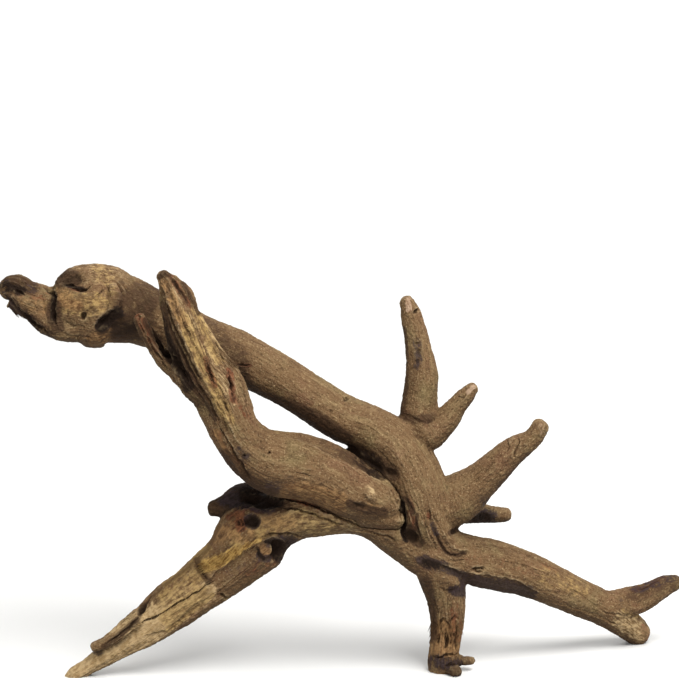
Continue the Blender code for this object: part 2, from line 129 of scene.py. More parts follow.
# %% The limbs' stations
LIMBS = {
    "main": [
        (3.0, 174.7, 21, 5.0, 5.0),
        (6.0, 174.9, 21, 7.8, 7.5),
        (11.3, 170.9, 21, 8.8, 8.5),
        (18.1, 168.2, 21, 9.3, 9.0),
        (23.6, 166.4, 21, 11.0, 10.5),
        (29.5, 167.0, 21, 14.9, 13.0),
        (36.0, 168.0, 21, 18.2, 15.0),
        (42.8, 167.5, 21, 19.6, 16.0),
        (48.6, 167.7, 21, 18.3, 15.0),
        (53.9, 166.4, 22, 16.5, 13.5),
        (60.7, 164.7, 23, 15.1, 12.5),
        (67.5, 161.8, 24, 13.7, 12.0),
        (78.8, 157.2, 24, 12.3, 11.5),
        (92.4, 150.3, 23, 12.2, 11.5),
        (105.9, 145.0, 22, 11.9, 11.5),
        (116.5, 139.9, 21, 11.4, 11.0),
        (134.7, 129.1, 18, 10.7, 11.0),
        (152.9, 117.7, 15, 10.8, 11.0),
        (168.6, 110.7, 13, 11.3, 12.0),
        (179.8, 101.8, 11, 12.6, 13.5),
        (187.6, 86.8, 10, 14.0, 15.0),
        (193.4, 67.6, 11, 12.6, 15.0),
        (199.6, 59.2, 12.5, 10.8, 13.5),
        (209.0, 54.0, 14, 11.5, 12.0),
        (224.8, 50.2, 18, 11.7, 10.5),
        (238.6, 46.0, 23, 10.5, 9.5),
        (256.7, 37.7, 30, 9.2, 8.5),
        (270.2, 31.9, 37, 8.4, 8.0),
        (280.2, 25.9, 42, 7.8, 7.0),
        (287.8, 19.5, 46, 6.3, 5.5),
    ],
    "front": [
        (73.1, 181.2, -9, 3.5, 3.4),
        (78.7, 172.2, -9, 8.5, 6.8),
        (81.1, 163.0, -9, 9.3, 8.2),
        (86.3, 149.7, -9, 11.6, 9.5),
        (90.7, 138.5, -9, 13.7, 10.5),
        (97.4, 130.3, -8, 13.4, 11.5),
        (101.4, 121.8, -7, 12.7, 12.0),
        (106.1, 110.6, -6, 11.6, 12.5),
        (113.8, 102.0, -5, 13.0, 13.0),
        (123.7, 96.8, -4, 15.1, 13.5),
        (135.0, 95.0, -3, 15.2, 13.5),
        (147.6, 90.9, -2, 14.6, 13.5),
        (158.4, 85.0, -1, 13.6, 13.0),
        (167.4, 81.0, 0, 11.6, 12.0),
        (173.2, 78.4, 2, 8.8, 9.6),
    ],
    "corner": [
        (163.6, 74.6, 0, 7.0, 9.0),
        (172.8, 72.2, 1, 6.0, 8.0),
        (178.4, 70.9, 2, 4.6, 6.5),
    ],
    "low": [
        (190.8, 58.4, 10, 13.0, 12.0),
        (180.6, 63.8, 9, 10.8, 12.0),
        (167.6, 71.9, 8, 9.8, 12.0),
        (155.2, 75.9, 7, 11.6, 12.0),
        (144.0, 75.4, 6, 12.1, 12.0),
        (134.1, 74.0, 6, 12.4, 12.0),
        (123.6, 70.2, 5, 14.0, 12.0),
        (113.6, 63.0, 4, 17.8, 12.0),
        (104.7, 53.0, 4, 14.5, 10.5),
        (94.9, 45.1, 4, 13.4, 9.0),
        (85.5, 37.8, 3, 12.1, 8.0),
        (74.7, 30.5, 3, 11.5, 7.0),
        (65.1, 22.6, 2, 9.5, 6.0),
        (55.8, 16.2, 2, 7.3, 5.0),
        (47.0, 9.9, 1, 5.7, 4.5),
        (39.3, 4.8, 1, 4.4, 4.0),
        (34.8, 2.0, 0, 4.3, 3.6),
        (31.8, -0.4, 0, 3.6, 3.2),
    ],
    "foot": [
        (197.0, 58.2, 8, 13.9, 12.0),
        (198.8, 46.4, 8, 11.3, 10.5),
        (200.5, 35.9, 8, 9.6, 9.0),
        (201.0, 25.2, 8, 8.4, 8.0),
        (200.0, 15.0, 8, 7.6, 7.5),
        (199.3, 8.6, 8, 7.5, 7.2),
        (199.0, 3.2, 8, 6.9, 6.8),
    ],
    "tall": [
        (188.8, 111.4, 17, 10.4, 9.0),
        (189.0, 125.1, 18, 8.3, 8.0),
        (189.8, 136.4, 18, 7.5, 7.0),
        (188.1, 149.8, 19, 6.1, 5.8),
        (185.1, 163.3, 20, 4.9, 4.6),
        (182.9, 169.8, 20, 3.2, 3.2),
    ],
    "short": [
        (192.6, 109.8, 13, 8.2, 8.5),
        (200.7, 116.3, 12, 6.5, 6.4),
        (205.4, 122.1, 11, 5.0, 5.0),
        (210.1, 127.4, 10, 4.1, 4.2),
        (212.9, 131.0, 10, 3.0, 3.0),
    ],
    "long": [
        (200.4, 77.6, 12, 12.2, 12.0),
        (208.5, 82.6, 12, 11.4, 10.5),
        (216.0, 88.6, 11, 8.9, 8.8),
        (223.9, 96.0, 10, 7.5, 7.6),
        (231.7, 102.7, 9, 6.4, 6.4),
        (239.3, 107.5, 8, 4.7, 4.8),
        (243.4, 113.6, 8, 4.2, 4.0),
    ],
    "stub": [
        (207.0, 75.6, 24, 6.9, 7.0),
        (216.9, 74.0, 30, 4.8, 5.0),
        (222.8, 73.4, 34, 4.0, 4.0),
        (227.7, 73.5, 37, 3.4, 3.4),
    ],
    "upturned": [
        (272.2, 31.8, 36, 6.9, 6.5),
        (281.2, 33.9, 39, 7.2, 6.4),
        (288.0, 35.5, 41, 6.9, 5.8),
        (294.7, 38.9, 43, 5.7, 5.0),
        (300.4, 41.9, 45, 4.8, 4.4),
        (304.6, 43.1, 46, 3.7, 3.6),
    ],
    "knob": [
        (115.0, 73.8, 11, 13.2, 9.0),
        (109.8, 79.4, 13, 9.1, 8.5),
        (101.6, 77.0, 13, 5.9, 6.0),
        (95.8, 76.1, 13, 4.1, 3.8),
    ],
    "sliver": [
        (62.6, 161.8, -3, 3.5, 3.2),
        (67.4, 153.0, -4, 4.2, 4.0),
        (73.2, 144.4, -5, 4.5, 4.6),
        (80.4, 135.6, -6, 4.4, 5.0),
        (88.3, 127.1, -6, 4.0, 6.0),
    ],
    "second_tip": [
        (63.0, 27.0, 0, 5.4, 5.0),
        (54.6, 20.9, -1, 4.1, 4.0),
        (48.3, 16.1, -2, 3.4, 3.4),
        (42.2, 13.7, -2, 2.9, 2.8),
    ],
    "saddle": [
        (154.2, 100.3, 8, 3.0, 5.0),
        (160.0, 98.6, 9, 5.6, 8.0),
        (168.0, 96.0, 10, 8.5, 10.0),
        (178.0, 92.0, 10, 10.0, 12.0),
    ],
    "rim": [
        (50.8, 176.0, 10, 2.4, 2.6),
        (52.0, 171.5, 8.5, 3.2, 3.4),
        (51.0, 166.4, 7.5, 3.4, 3.6),
        (47.0, 160.6, 8.5, 2.8, 3.0),
    ],
    "jaw": [
        (16.4, 164.4, 18, 6.0, 6.0),
        (21.4, 160.9, 16, 7.1, 7.0),
        (29.5, 158.1, 15, 7.3, 8.0),
        (38.6, 156.5, 16, 6.3, 8.0),
        (41.4, 153.4, 17, 5.2, 6.6),
        (43.4, 150.5, 17, 2.8, 4.2),
    ],
    "side_toe": [
        (202.0, 8.2, 7, 3.9, 4.5),
        (207.9, 7.8, 7, 2.5, 3.0),
        (212.6, 7.8, 7, 2.1, 2.4),
    ],
    "front_toe": [
        (201.0, 5.4, 5, 3.6, 4.2),
        (203.6, 4.0, 2, 3.3, 3.9),
        (205.6, 2.5, 0, 2.9, 3.0),
    ],
}
print(len(LIMBS), "limbs,", sum(len(stations) for stations in LIMBS.values()), "stations")

# %% [markdown]
# ## From stations to a smooth path
# Straight runs between stations would look like bent pipe. A Catmull-Rom curve passes through every
# station and bends evenly, and it carries the two half widths along as if they were coordinates. At each
# point of the path a small frame says which way the limb runs, which way is across it in the picture, and
# which way is towards the eye. Everything that later follows the grain is measured in these frames.

# %% A limb's path and its frames
RING_STEP = 2.0                # millimetres between two rings of a limb


def unit(vectors):
    """The vectors at length one."""
    return vectors / np.linalg.norm(vectors, axis=1, keepdims=True)


def limb_path(name, step=RING_STEP):
    """A smooth curve through a limb's stations: its points, and half its width and thickness at each."""
    rows = np.array([(*from_drawing(*station[:3]), *station[3:]) for station in LIMBS[name]])
    ends = np.vstack([2 * rows[0] - rows[1], rows, 2 * rows[-1] - rows[-2]])
    path = []
    for n in range(len(rows) - 1):
        p0, p1, p2, p3 = ends[n:n + 4]
        pieces = max(1, round(float(np.linalg.norm((p2 - p1)[:3])) / step))
        for t in np.arange(pieces) / pieces:
            bend = 2 * p0 - 5 * p1 + 4 * p2 - p3
            twist = 3 * (p1 - p2) + p3 - p0
            path.append(0.5 * (2 * p1 + (p2 - p0) * t + bend * t ** 2 + twist * t ** 3))
    path.append(rows[-1])
    path = np.array(path)
    return path[:, :3], path[:, 3:]


def limb_frames(points):
    """At each point: the way the limb runs, the way across it in the drawing, and the way to the eye."""
    along = unit(np.gradient(points, axis=0))
    side = unit(np.cross(along, eye() - points))
    return along, side, np.cross(side, along)


def limb_length(name):
    """The length of a limb's middle line."""
    return float(np.linalg.norm(np.diff(limb_path(name)[0], axis=0), axis=1).sum())


print("longest limb:", round(limb_length("main")), "mm; broken limb:", round(limb_length("front")), "mm")

# %% [markdown]
# ## Growing the limbs together
# Wood has no seams at its forks: the fibres of one limb flow into the next. Joining tubes with Booleans
# would leave sharp lines there. Here the limbs are lofted as closed tubes that run into each other, and a
# voxel remesh makes one skin around them all, on a grid of half a millimetre. Smoothing then lets each
# fork swell into a soft web, as a growing fork does.

# %% Lofting and fusing
RING_POINTS = 40               # round a limb
END_REACH = 0.7                # how far a rounded end stands out, in half widths
END_TURNS = (20, 40, 60, 80)   # the rings of a rounded end, in degrees
VOXEL = 0.5                    # grid that the limbs are fused on, in millimetres
SOFTENING = 30                 # rounds of smoothing where limbs meet
SOFTENING_STRENGTH = 0.5       # of each round, from 0 to 1


def limb_mesh(bm, name):
    """Adds a closed limb: oval rings along its path, with rounded ends."""
    points, sizes = limb_path(name)
    along, side, front = limb_frames(points)
    rings = [(points[n], n, 1.0) for n in range(len(points))]
    for turn in END_TURNS:
        shrink = math.cos(math.radians(turn))
        reach = END_REACH * math.sin(math.radians(turn))
        rings.insert(0, (points[0] - along[0] * sizes[0][0] * reach, 0, shrink))
        rings.append((points[-1] + along[-1] * sizes[-1][0] * reach, -1, shrink))
    turns = 2 * np.pi * np.arange(RING_POINTS) / RING_POINTS
    loops = []
    for middle, n, shrink in rings:
        wide = side[n] * sizes[n][0] * shrink
        thick = front[n] * sizes[n][1] * shrink
        loops.append([bm.verts.new(middle + wide * math.cos(t) + thick * math.sin(t)) for t in turns])
    faces = [bm.faces.new(loops[0]), bm.faces.new(reversed(loops[-1]))]
    for loop, following in zip(loops, loops[1:]):
        for n in range(RING_POINTS):
            m = (n + 1) % RING_POINTS
            faces.append(bm.faces.new((loop[m], loop[n], following[n], following[m])))
    bmesh.ops.recalc_face_normals(bm, faces=faces)


def new_object(mesh, name):
    """An object in the scene that holds this mesh."""
    made = bpy.data.objects.new(name, mesh)
    bpy.context.scene.collection.objects.link(made)
    return made


def apply_modifiers(thing):
    """Puts the modifiers' result into the object's mesh and takes them off."""
    evaluated = thing.evaluated_get(bpy.context.evaluated_depsgraph_get())
    mesh = bpy.data.meshes.new_from_object(evaluated)
    thing.modifiers.clear()
    thing.data = mesh


def fused(name, limbs):
    """The limbs grown together into one closed skin."""
    bm = bmesh.new()
    for limb in limbs:
        limb_mesh(bm, limb)
    mesh = bpy.data.meshes.new(name)
    bm.to_mesh(mesh)
    bm.free()
    wood = new_object(mesh, name)
    fuse = wood.modifiers.new("fuse", "REMESH")
    fuse.mode = "VOXEL"
    fuse.voxel_size = VOXEL
    soften = wood.modifiers.new("soften", "SMOOTH")
    soften.factor = SOFTENING_STRENGTH
    soften.iterations = SOFTENING
    apply_modifiers(wood)
    return wood


BROKEN = ("front", "corner", "sliver")   # the limbs of the broken piece
WHOLE = [limb for limb in LIMBS if limb not in BROKEN]
root = fused("root", WHOLE)
broken = fused("broken", BROKEN)
print("faces of the root:", len(root.data.polygons), "and of the broken limb:", len(broken.data.polygons))

# %% [markdown]
# ## Knowing a point of the skin
# To carve along the grain, the skin has to know, at each point, which limb it belongs to, how far along
# that limb it lies, and where round it. One could paint weights by hand. Here the nearest point of each
# limb's path is looked up in a k-d tree, and the offset from it is read in the frame of that place.

# %% Reading the skin
PATH_STEP = 1.0                # millimetres between the points of a path that are looked up
LOOK_ROUND = 1.6               # points are read up to this many of a limb's largest half widths from it
BEYOND = 9.0                   # how far out a point lies that is nowhere near a limb


def soft_step(value, start, end):
    """0 before start, 1 after end, and smooth between them."""
    t = np.clip((value - start) / (end - start), 0, 1)
    return t * t * (3 - 2 * t)


def place_on_limb(points, name):
    """Where points lie on a limb: millimetres along it, across it and towards the eye. Then how far out,
    where 1 is its surface, and the way that the limb runs there."""
    middle, sizes = limb_path(name, PATH_STEP)
    along, side, front = limb_frames(middle)
    lengths = np.concatenate([[0], np.cumsum(np.linalg.norm(np.diff(middle, axis=0), axis=1))])
    margin = LOOK_ROUND * sizes.max()
    inside = (points > middle.min(axis=0) - margin) & (points < middle.max(axis=0) + margin)
    near = np.flatnonzero(inside.all(axis=1))
    tree = KDTree(len(middle))
    for n, point in enumerate(middle):
        tree.insert(point, n)
    tree.balance()
    nearest = np.array([tree.find(point)[1] for point in points[near].tolist()], dtype=int)
    offset = points[near] - middle[nearest]
    ahead = (offset * along[nearest]).sum(axis=1)
    wide = (offset * side[nearest]).sum(axis=1)
    thick = (offset * front[nearest]).sum(axis=1)
    place = np.zeros((len(points), 3))
    place[near] = np.stack([lengths[nearest] + ahead, wide, thick], axis=1)
    half_wide, half_thick = sizes[nearest].T
    out = np.full(len(points), BEYOND)
    out[near] = np.sqrt((wide / half_wide) ** 2 + (thick / half_thick) ** 2 + (ahead / half_wide) ** 2)
    run = np.zeros((len(points), 3))
    run[near] = along[nearest]
    return place, out, run


def read_skin(wood, limbs):
    """Everything that the carving asks of a mesh, for each of its points."""
    mesh = wood.data
    points = np.empty(len(mesh.vertices) * 3)
    normals = np.empty_like(points)
    mesh.vertices.foreach_get("co", points)
    mesh.vertex_normals.foreach_get("vector", normals)
    points = points.reshape(-1, 3)
    normals = normals.reshape(-1, 3)
    facing = (normals * unit(eye() - points)).sum(axis=1)
    places = {name: place_on_limb(points, name) for name in limbs}
    return {
        "points": points,
        "normals": normals,
        "seen": to_picture(points),
        "facing": facing,
        "places": places,
    }


def on_skin(skin, rows):
    """The rows of a table whose limb, named first in each row, is a part of this skin."""
    return [row for row in rows if row[0] in skin["places"]]


def stretch(length, start, end, soft_start, soft_end):
    """1 from start to end along a limb, with soft ends."""
    begun = soft_step(length, start - soft_start, start + soft_start)
    return begun * (1 - soft_step(length, end - soft_end, end + soft_end))


skins = [(root, read_skin(root, WHOLE)), (broken, read_skin(broken, BROKEN))]
print("points read:", {wood.name: len(skin["points"]) for wood, skin in skins})

# %% [markdown]
# ## Long ridges and furrows
# Where the outer wood has split away, the broken limb shows its inside: long ridges that run with the
# grain and wander a little. Each furrow set has a whole number of ridges round the limb, so it closes on
# itself, and two sets of different width are added, because one alone would look turned on a lathe.

# %% Furrows along the grain
# Limb, from and to along it in millimetres, how many ridges round it, depth.
FURROWS = [
    ("front", 0, 72, 9, 0.9),
    ("front", 72, 150, 7, 0.3),
    ("low", 70, 200, 8, 0.6),
    ("foot", 15, 60, 7, 0.8),
    ("main", 190, 260, 8, 0.7),
    ("main", 0, 26, 7, 0.6),
]
FURROW_ENDS = (4, 8)           # millimetres over which a stretch of furrows begins and runs out
FURROW_SKIN = (1.1, 1.35)      # how far out from its limb a furrow is whole, and gone
WANDER = ((0.7, 23), (0.2, 7.3))   # how far two waves push the ridges round, and their size in millimetres


def furrow_depth(skin, limb, start, end, count, depth):
    """Long ridges that wander a little as they run along the limb."""
    place, out, _ = skin["places"][limb]
    length = place[:, 0]
    sizes = limb_path(limb, PATH_STEP)[1]
    rows = np.clip((length / PATH_STEP).astype(int), 0, len(sizes) - 1)
    turn = np.arctan2(place[:, 2] / sizes[rows, 1], place[:, 1] / sizes[rows, 0])
    (far, slow), (little, quick) = WANDER
    wander = far * np.sin(length / slow + count) + little * np.sin(length / quick + 2 * count)
    fine = np.abs(np.sin(0.5 * (count * turn + wander)))
    broad = np.abs(np.sin(0.5 * ((count // 2) * turn - wander + 1.3)))
    near = 1 - soft_step(out, *FURROW_SKIN)
    return depth * near * stretch(length, start, end, *FURROW_ENDS) * (1 - 0.6 * fine - 0.4 * broad)


# %% [markdown]
# ## Splits, ropes, ledges, holes, lumps and plugs
# A weathered root tells its story in single marks: the split that runs round the snag, the plank that
# lifted off the left leg, the eye-shaped hole of a lost twig. They don't repeat, so each is placed one by
# one, by the photograph's pixels, with a width and a depth in millimetres. Six kinds are enough. A split
# is a groove along a line and a rope is a rounded ridge along one. A ledge drops on one side of its line
# and runs out. A hole is a slanted oval, a lump is a hole with its depth turned round, and a plug is a
# flat face in a hole. Each mark touches only its own limb, and only the side that faces the eye, apart
# from a few on the far side. A drawn line would look drawn, so the lines are bent in small waves, and a
# split swells and shrinks along its way and thins out at both ends.

# %% Marks that are placed one by one
# Limb, half width and depth in millimetres, and the line in pixels of the photograph.
SPLITS = {
    "round the snag": ("main", 1.3, 2.0, [(44, 284), (50, 290), (55, 297), (53, 306), (53, 316),
                                          (57, 326)]),
    "over the snag": ("main", 1.2, 0.45, [(3, 281), (14, 287), (26, 290), (40, 288), (49, 290)]),
    "snag wrinkle one": ("main", 0.9, 0.6, [(3, 289), (10, 284), (18, 285), (24, 289)]),
    "snag wrinkle two": ("main", 0.9, 0.9, [(1, 294), (8, 298), (15, 305), (20, 313)]),
    "snag wrinkle three": ("main", 0.8, 0.5, [(10, 278), (18, 281), (28, 283), (40, 286)]),
    "under the snag": ("main", 1.2, 1.7, [(12, 303), (20, 312), (30, 320), (40, 328), (50, 334)]),
    "snag grain one": ("main", 0.6, 0.4, [(28, 294), (34, 304), (38, 316)]),
    "snag grain two": ("main", 0.6, 0.4, [(40, 293), (44, 304), (46, 316)]),
    "eye slit": ("main", 0.9, 1.4, [(64, 284), (70, 283.5), (77, 287)]),
    "eye fold": ("main", 0.8, 1.3, [(73, 289), (80, 291.5), (91, 286.5)]),
    "fold of the burl": ("main", 0.8, 0.7, [(94, 298), (100, 294), (104, 288)]),
    "burl fold": ("main", 1.3, 1.0, [(116, 281), (121, 288), (124, 297)]),
    "burl fold, lower": ("main", 1.4, 0.7, [(122, 298), (122, 308), (118, 316)]),
    "behind the burl": ("main", 1.4, 0.5, [(106, 268), (116, 275), (126, 287), (134, 302)]),
    "flow line": ("main", 1.0, 0.4, [(118, 268), (130, 277), (140, 290), (148, 304)]),
    "growth line one": ("main", 0.7, 0.35, [(82, 275), (92, 269), (103, 274), (109, 287)]),
    "growth line two": ("main", 0.7, 0.35, [(90, 283), (98, 278), (106, 283), (110, 296)]),
    "chin line": ("main", 1.6, 0.5, [(54, 328), (66, 336), (80, 338), (88, 336)]),
    "above the chin": ("main", 1.0, 0.4, [(60, 318), (74, 326), (90, 329)]),
    "left of the chin": ("main", 0.9, 0.6, [(86, 334), (89, 340), (93, 346)]),
    "slit": ("main", 0.9, 1.1, [(237, 364.5), (243, 365), (250, 366)]),
    "collar of the hub": ("main", 1.2, 0.4, [(376, 447), (383, 457), (391, 466), (400, 470)]),
    "beside the broken limb": ("main", 1.2, 1.6, [(387, 482), (395, 493), (400, 503), (402, 514),
                                                  (403, 526)]),
    "gap of the ropes": ("main", 1.5, 3.0, [(399, 499), (402, 505), (403, 512), (403, 524), (404, 535),
                                            (406, 540)]),
    "furrow one of the ropes": ("main", 1.1, 0.9, [(405, 499), (409, 505), (413, 513)]),
    "furrow two of the ropes": ("main", 0.7, 0.9, [(417, 515), (416, 527), (418.5, 535), (421.5, 543)]),
    "furrow three of the ropes": ("main", 0.8, 0.8, [(434, 529), (438, 536), (441, 544), (445, 551),
                                                     (451, 555.5), (459, 556.5), (466, 553)]),
    "furrow four of the ropes": ("main", 0.7, 0.7, [(410, 512), (413, 520), (412, 528)]),
    "rope line one": ("main", 0.6, 0.6, [(425, 517), (426, 526), (430, 534)]),
    "rope line two": ("main", 0.6, 0.5, [(432, 511), (436, 521), (440, 530)]),
    "rope line three": ("main", 0.6, 0.4, [(446, 560), (458, 562), (470, 560)]),
    "rope wrinkle one": ("main", 0.5, 0.5, [(406, 511), (409, 520), (408, 529)]),
    "rope wrinkle two": ("main", 0.5, 0.5, [(420, 507), (421, 517), (424, 526)]),
    "rope wrinkle three": ("main", 0.5, 0.6, [(412, 498), (417, 506), (420, 513)]),
    "rope wrinkle four": ("main", 0.5, 0.5, [(427, 528), (432, 538), (435, 548), (442, 556)]),
    "round the rope eye": ("main", 0.5, 0.7, [(426.5, 515), (429, 511.5), (431.5, 515), (430.5, 520),
                                              (427, 519)]),
    "leg line one": ("main", 0.8, 0.4, [(464, 547), (486, 546), (510, 549), (532, 557), (554, 570)]),
    "leg line two": ("main", 0.7, 0.3, [(520, 566), (545, 576), (575, 592), (604, 611)]),
    "leg line three": ("main", 0.8, 0.4, [(552, 602), (575, 609), (598, 616), (622, 628)]),
    "leg line four": ("main", 0.7, 0.35, [(492, 560), (516, 563), (540, 571), (560, 582)]),
    "toe crease": ("main", 0.8, 0.6, [(600, 611), (614, 615), (626, 616), (641, 615)]),
    "upturned line": ("upturned", 0.7, 0.6, [(634, 592), (648, 586), (663, 580)]),
    "collar of the tall prong": ("tall", 1.5, 0.5, [(402, 413), (410, 418), (418, 421), (427, 422),
                                                    (437, 417)]),
    "nick of the tall prong": ("tall", 1.2, 1.6, [(422, 306), (417, 311), (413, 313)]),
    "knuckle one": ("long", 0.9, 0.8, [(516, 434), (519, 443), (514, 456), (520, 460)]),
    "knuckle two": ("long", 0.8, 0.6, [(506, 440), (509, 448), (507, 455)]),
    "short prong nick": ("short", 0.7, 0.6, [(457, 396), (462, 399), (468, 394)]),
    "top slit of the broken limb": ("front", 0.7, 0.8, [(171, 275), (177, 284), (183, 293), (189, 303)]),
    "slit, far side": ("front", 0.6, 0.5, [(184, 283), (192, 300), (200, 318), (208, 334), (214, 346)]),
    "left of the lit face": ("front", 0.7, 0.9, [(162, 298), (168, 316), (178, 338), (190, 362),
                                                 (201, 384)]),
    "crest line": ("front", 0.5, 0.5, [(178, 312), (188, 332), (198, 352), (206, 368), (214, 388)]),
    "lit line one": ("front", 0.5, 0.5, [(186, 308), (195, 327), (204, 346), (211, 360)]),
    "lit line two": ("front", 0.5, 0.4, [(193, 306), (202, 325), (212, 344), (222, 362)]),
    "lit line three": ("front", 0.5, 0.4, [(212, 372), (220, 388), (228, 404)]),
    "dark face one": ("front", 0.8, 0.9, [(166, 324), (174, 342), (184, 362), (194, 380), (204, 398)]),
    "dark face two": ("front", 0.8, 0.8, [(161, 332), (169, 348), (179, 366), (190, 384), (202, 404)]),
    "dark face three": ("front", 0.9, 0.8, [(196, 380), (204, 396), (212, 412), (220, 428)]),
    "middle pocket": ("front", 0.9, 1.5, [(206, 361), (209, 369), (212, 377), (213, 384)]),
    "right pocket": ("front", 0.9, 2.3, [(230, 371), (231, 380), (233, 390), (234, 396)]),
    "flake edge one": ("front", 0.5, 0.7, [(223, 343), (229, 352), (236, 359)]),
    "flake edge two": ("front", 0.5, 0.7, [(219, 350), (225, 361), (228, 371)]),
    "beside the flake": ("front", 0.7, 0.9, [(239, 372), (243, 384), (247, 400), (249, 412)]),
    "small pocket": ("front", 0.7, 0.9, [(222, 400), (227, 409), (231, 417)]),
    "low split": ("front", 0.7, 0.6, [(212, 396), (219, 407), (225, 417)]),
    "bark lip": ("front", 1.1, 1.7, [(219, 430), (228, 444), (236, 458), (245, 472), (250, 481)]),
    "bend line": ("front", 0.6, 0.4, [(258, 428), (262, 444), (266, 462)]),
    "gap of the side splinter": ("front", 2.0, 3.2, [(150, 318), (156, 332), (165, 350), (175, 367),
                                                     (185, 381)]),
    "gap, on the splinter": ("sliver", 1.2, 1.4, [(151, 320), (158, 334), (167, 350), (176, 364)]),
    "end fold one": ("front", 1.0, 1.1, [(385, 481), (392, 490), (398, 500), (401, 512), (402, 524)]),
    "end fold two": ("front", 1.4, 0.6, [(351, 503), (359, 506), (368, 508)]),
    "end fold three": ("front", 0.8, 0.7, [(388, 490), (393, 500), (396, 512)]),
    "check one": ("front", 0.6, 0.4, [(292, 472), (305, 474), (316, 479)]),
    "check two": ("front", 0.6, 0.4, [(322, 493), (333, 498), (341, 497)]),
    "splinter grain": ("sliver", 0.7, 0.8, [(138, 322), (145, 336), (156, 354), (169, 373)]),
    "curl of the splinter": ("sliver", 0.8, 1.0, [(133, 318), (136, 313), (140, 316), (139, 323)]),
    "bark line one": ("low", 0.9, 1.5, [(279, 498), (300, 501), (318, 508), (334, 515), (350, 523),
                                        (366, 528)]),
    "bark line two": ("low", 0.8, 1.1, [(278, 507), (300, 510), (314, 515), (331, 522), (350, 529)]),
    "bark line three": ("low", 0.8, 0.9, [(352, 531), (370, 533), (388, 537), (400, 545)]),
    "under the branch": ("low", 0.9, 0.9, [(262, 537), (276, 534), (292, 535), (308, 540)]),
    "over the knot": ("low", 0.8, 0.7, [(222, 520), (232, 511), (245, 506), (258, 506), (268, 512)]),
    "cross split": ("low", 0.6, 1.1, [(193, 561), (198, 568), (203, 575), (208.5, 581)]),
    "cross split, right": ("low", 0.5, 0.9, [(219, 570), (213, 577), (208, 582)]),
    "long split of the leg": ("low", 0.5, 1.2, [(213, 583), (204, 588), (194, 594), (175, 605.5),
                                                (154, 617.5), (137, 626)]),
    "end of the plank": ("low", 0.9, 1.3, [(151, 592), (146, 602), (141, 612), (136, 621), (128, 629),
                                           (117, 637), (105, 645)]),
    "end of the plank, side": ("second_tip", 0.8, 1.0, [(141, 608), (136, 621), (128, 629), (106, 645)]),
    "leg grain one": ("low", 0.5, 0.4, [(250, 566), (236, 578), (222, 590), (205, 600)]),
    "leg grain two": ("low", 0.5, 0.4, [(160, 638), (140, 648), (112, 663)]),
    "leg grain three": ("low", 0.5, 0.4, [(190, 578), (176, 588), (156, 602)]),
    "edge notch": ("low", 0.9, 1.6, [(220, 594), (225, 597), (229, 600)]),
    "slot one of the foot": ("foot", 0.8, 1.8, [(446, 629), (447, 641), (446, 653)]),
    "slot two of the foot": ("foot", 0.8, 1.7, [(457, 623), (458, 638), (457, 652)]),
    "slot three of the foot": ("foot", 0.6, 1.2, [(438, 632), (438, 648)]),
    "slot four of the foot": ("foot", 0.5, 1.0, [(452, 626), (452, 640), (451, 652)]),
    "slot five of the foot": ("foot", 0.5, 0.9, [(441, 625), (442, 636)]),
    "ragged edge on the foot": ("foot", 0.7, 1.0, [(431, 622), (438, 626), (443, 620), (449, 625),
                                                   (455, 617), (461, 621)]),
    "foot edge": ("foot", 0.9, 1.1, [(430, 656), (441, 658), (452, 655), (460, 655)]),
    "foot diagonal": ("foot", 1.0, 0.6, [(436, 587), (446, 592), (456, 590), (464, 584)]),
    "foot grain": ("foot", 0.6, 0.5, [(432, 596), (435, 608), (438, 618)]),
    "between the toes": ("foot", 1.0, 1.4, [(445, 667), (450, 664), (460, 664)]),
}
# Limb, half width, height, and the line.
ROPES = {
    "rope one": ("main", 1.5, 0.8, [(409, 508), (411, 518), (412, 529)]),
    "rope two": ("main", 1.7, 0.8, [(421, 514), (424, 525), (429, 536), (432, 546)]),
    "rope three": ("main", 1.7, 0.9, [(440, 527), (445, 537), (451, 546), (460, 550.5), (472, 551)]),
    "crest of the broken limb": ("front", 2.6, 0.6, [(163, 288), (171, 310), (182, 335), (194, 360),
                                                     (207, 386), (220, 412)]),
    "pale edge of the broken limb": ("front", 0.7, 0.8, [(201, 314), (210, 329), (218, 341), (225, 352)]),
    "flake": ("front", 1.3, 1.0, [(228, 349), (233, 358), (237, 368), (242, 382), (246, 396)]),
    "bark strip": ("front", 1.4, 0.6, [(213, 434), (222, 447), (231, 460), (240, 472), (246, 480)]),
    "lip of the burl": ("main", 1.3, 0.9, [(115, 307), (110, 315), (99, 323)]),
    "rim of the knot": ("low", 1.4, 0.6, [(236, 515), (243, 509), (252, 507), (261, 511)]),
    "fold above the plug": ("low", 1.4, 0.8, [(262, 541), (272, 537), (282, 539), (290, 545)]),
}
# Limb, half width of the soft edge, depth, how far it runs out, and the line: what drops is on its left.
LEDGES = {
    "left face of the broken limb": ("front", 2.6, 1.3, 11.0, [(224, 420), (204, 390), (191, 364),
                                                               (178, 338), (166, 313), (159, 288)]),
    "back of the bent limb": ("front", 1.0, 1.7, 8.0, [(270, 429), (284, 433), (299, 438), (319, 447),
                                                       (340, 458), (356, 466), (371, 475)]),
    "yellow band, upper edge": ("low", 0.5, 0.7, 5.0, [(203, 566), (206, 559), (217, 554), (228, 548.5),
                                                       (236, 545), (250, 540.5), (261, 540)]),
    "plank of the leg": ("low", 0.5, 0.9, 8.0, [(262, 546), (248, 550), (236, 559), (226, 567),
                                                (218, 573), (209, 582)]),
    "tan plate": ("low", 0.5, 0.6, 6.0, [(214, 594), (190, 609), (168, 631), (152, 634)]),
    "under the right leg": ("main", 0.5, 1.5, 8.0, [(530, 589), (516, 581), (485, 576), (465, 574),
                                                    (452, 569)]),
}
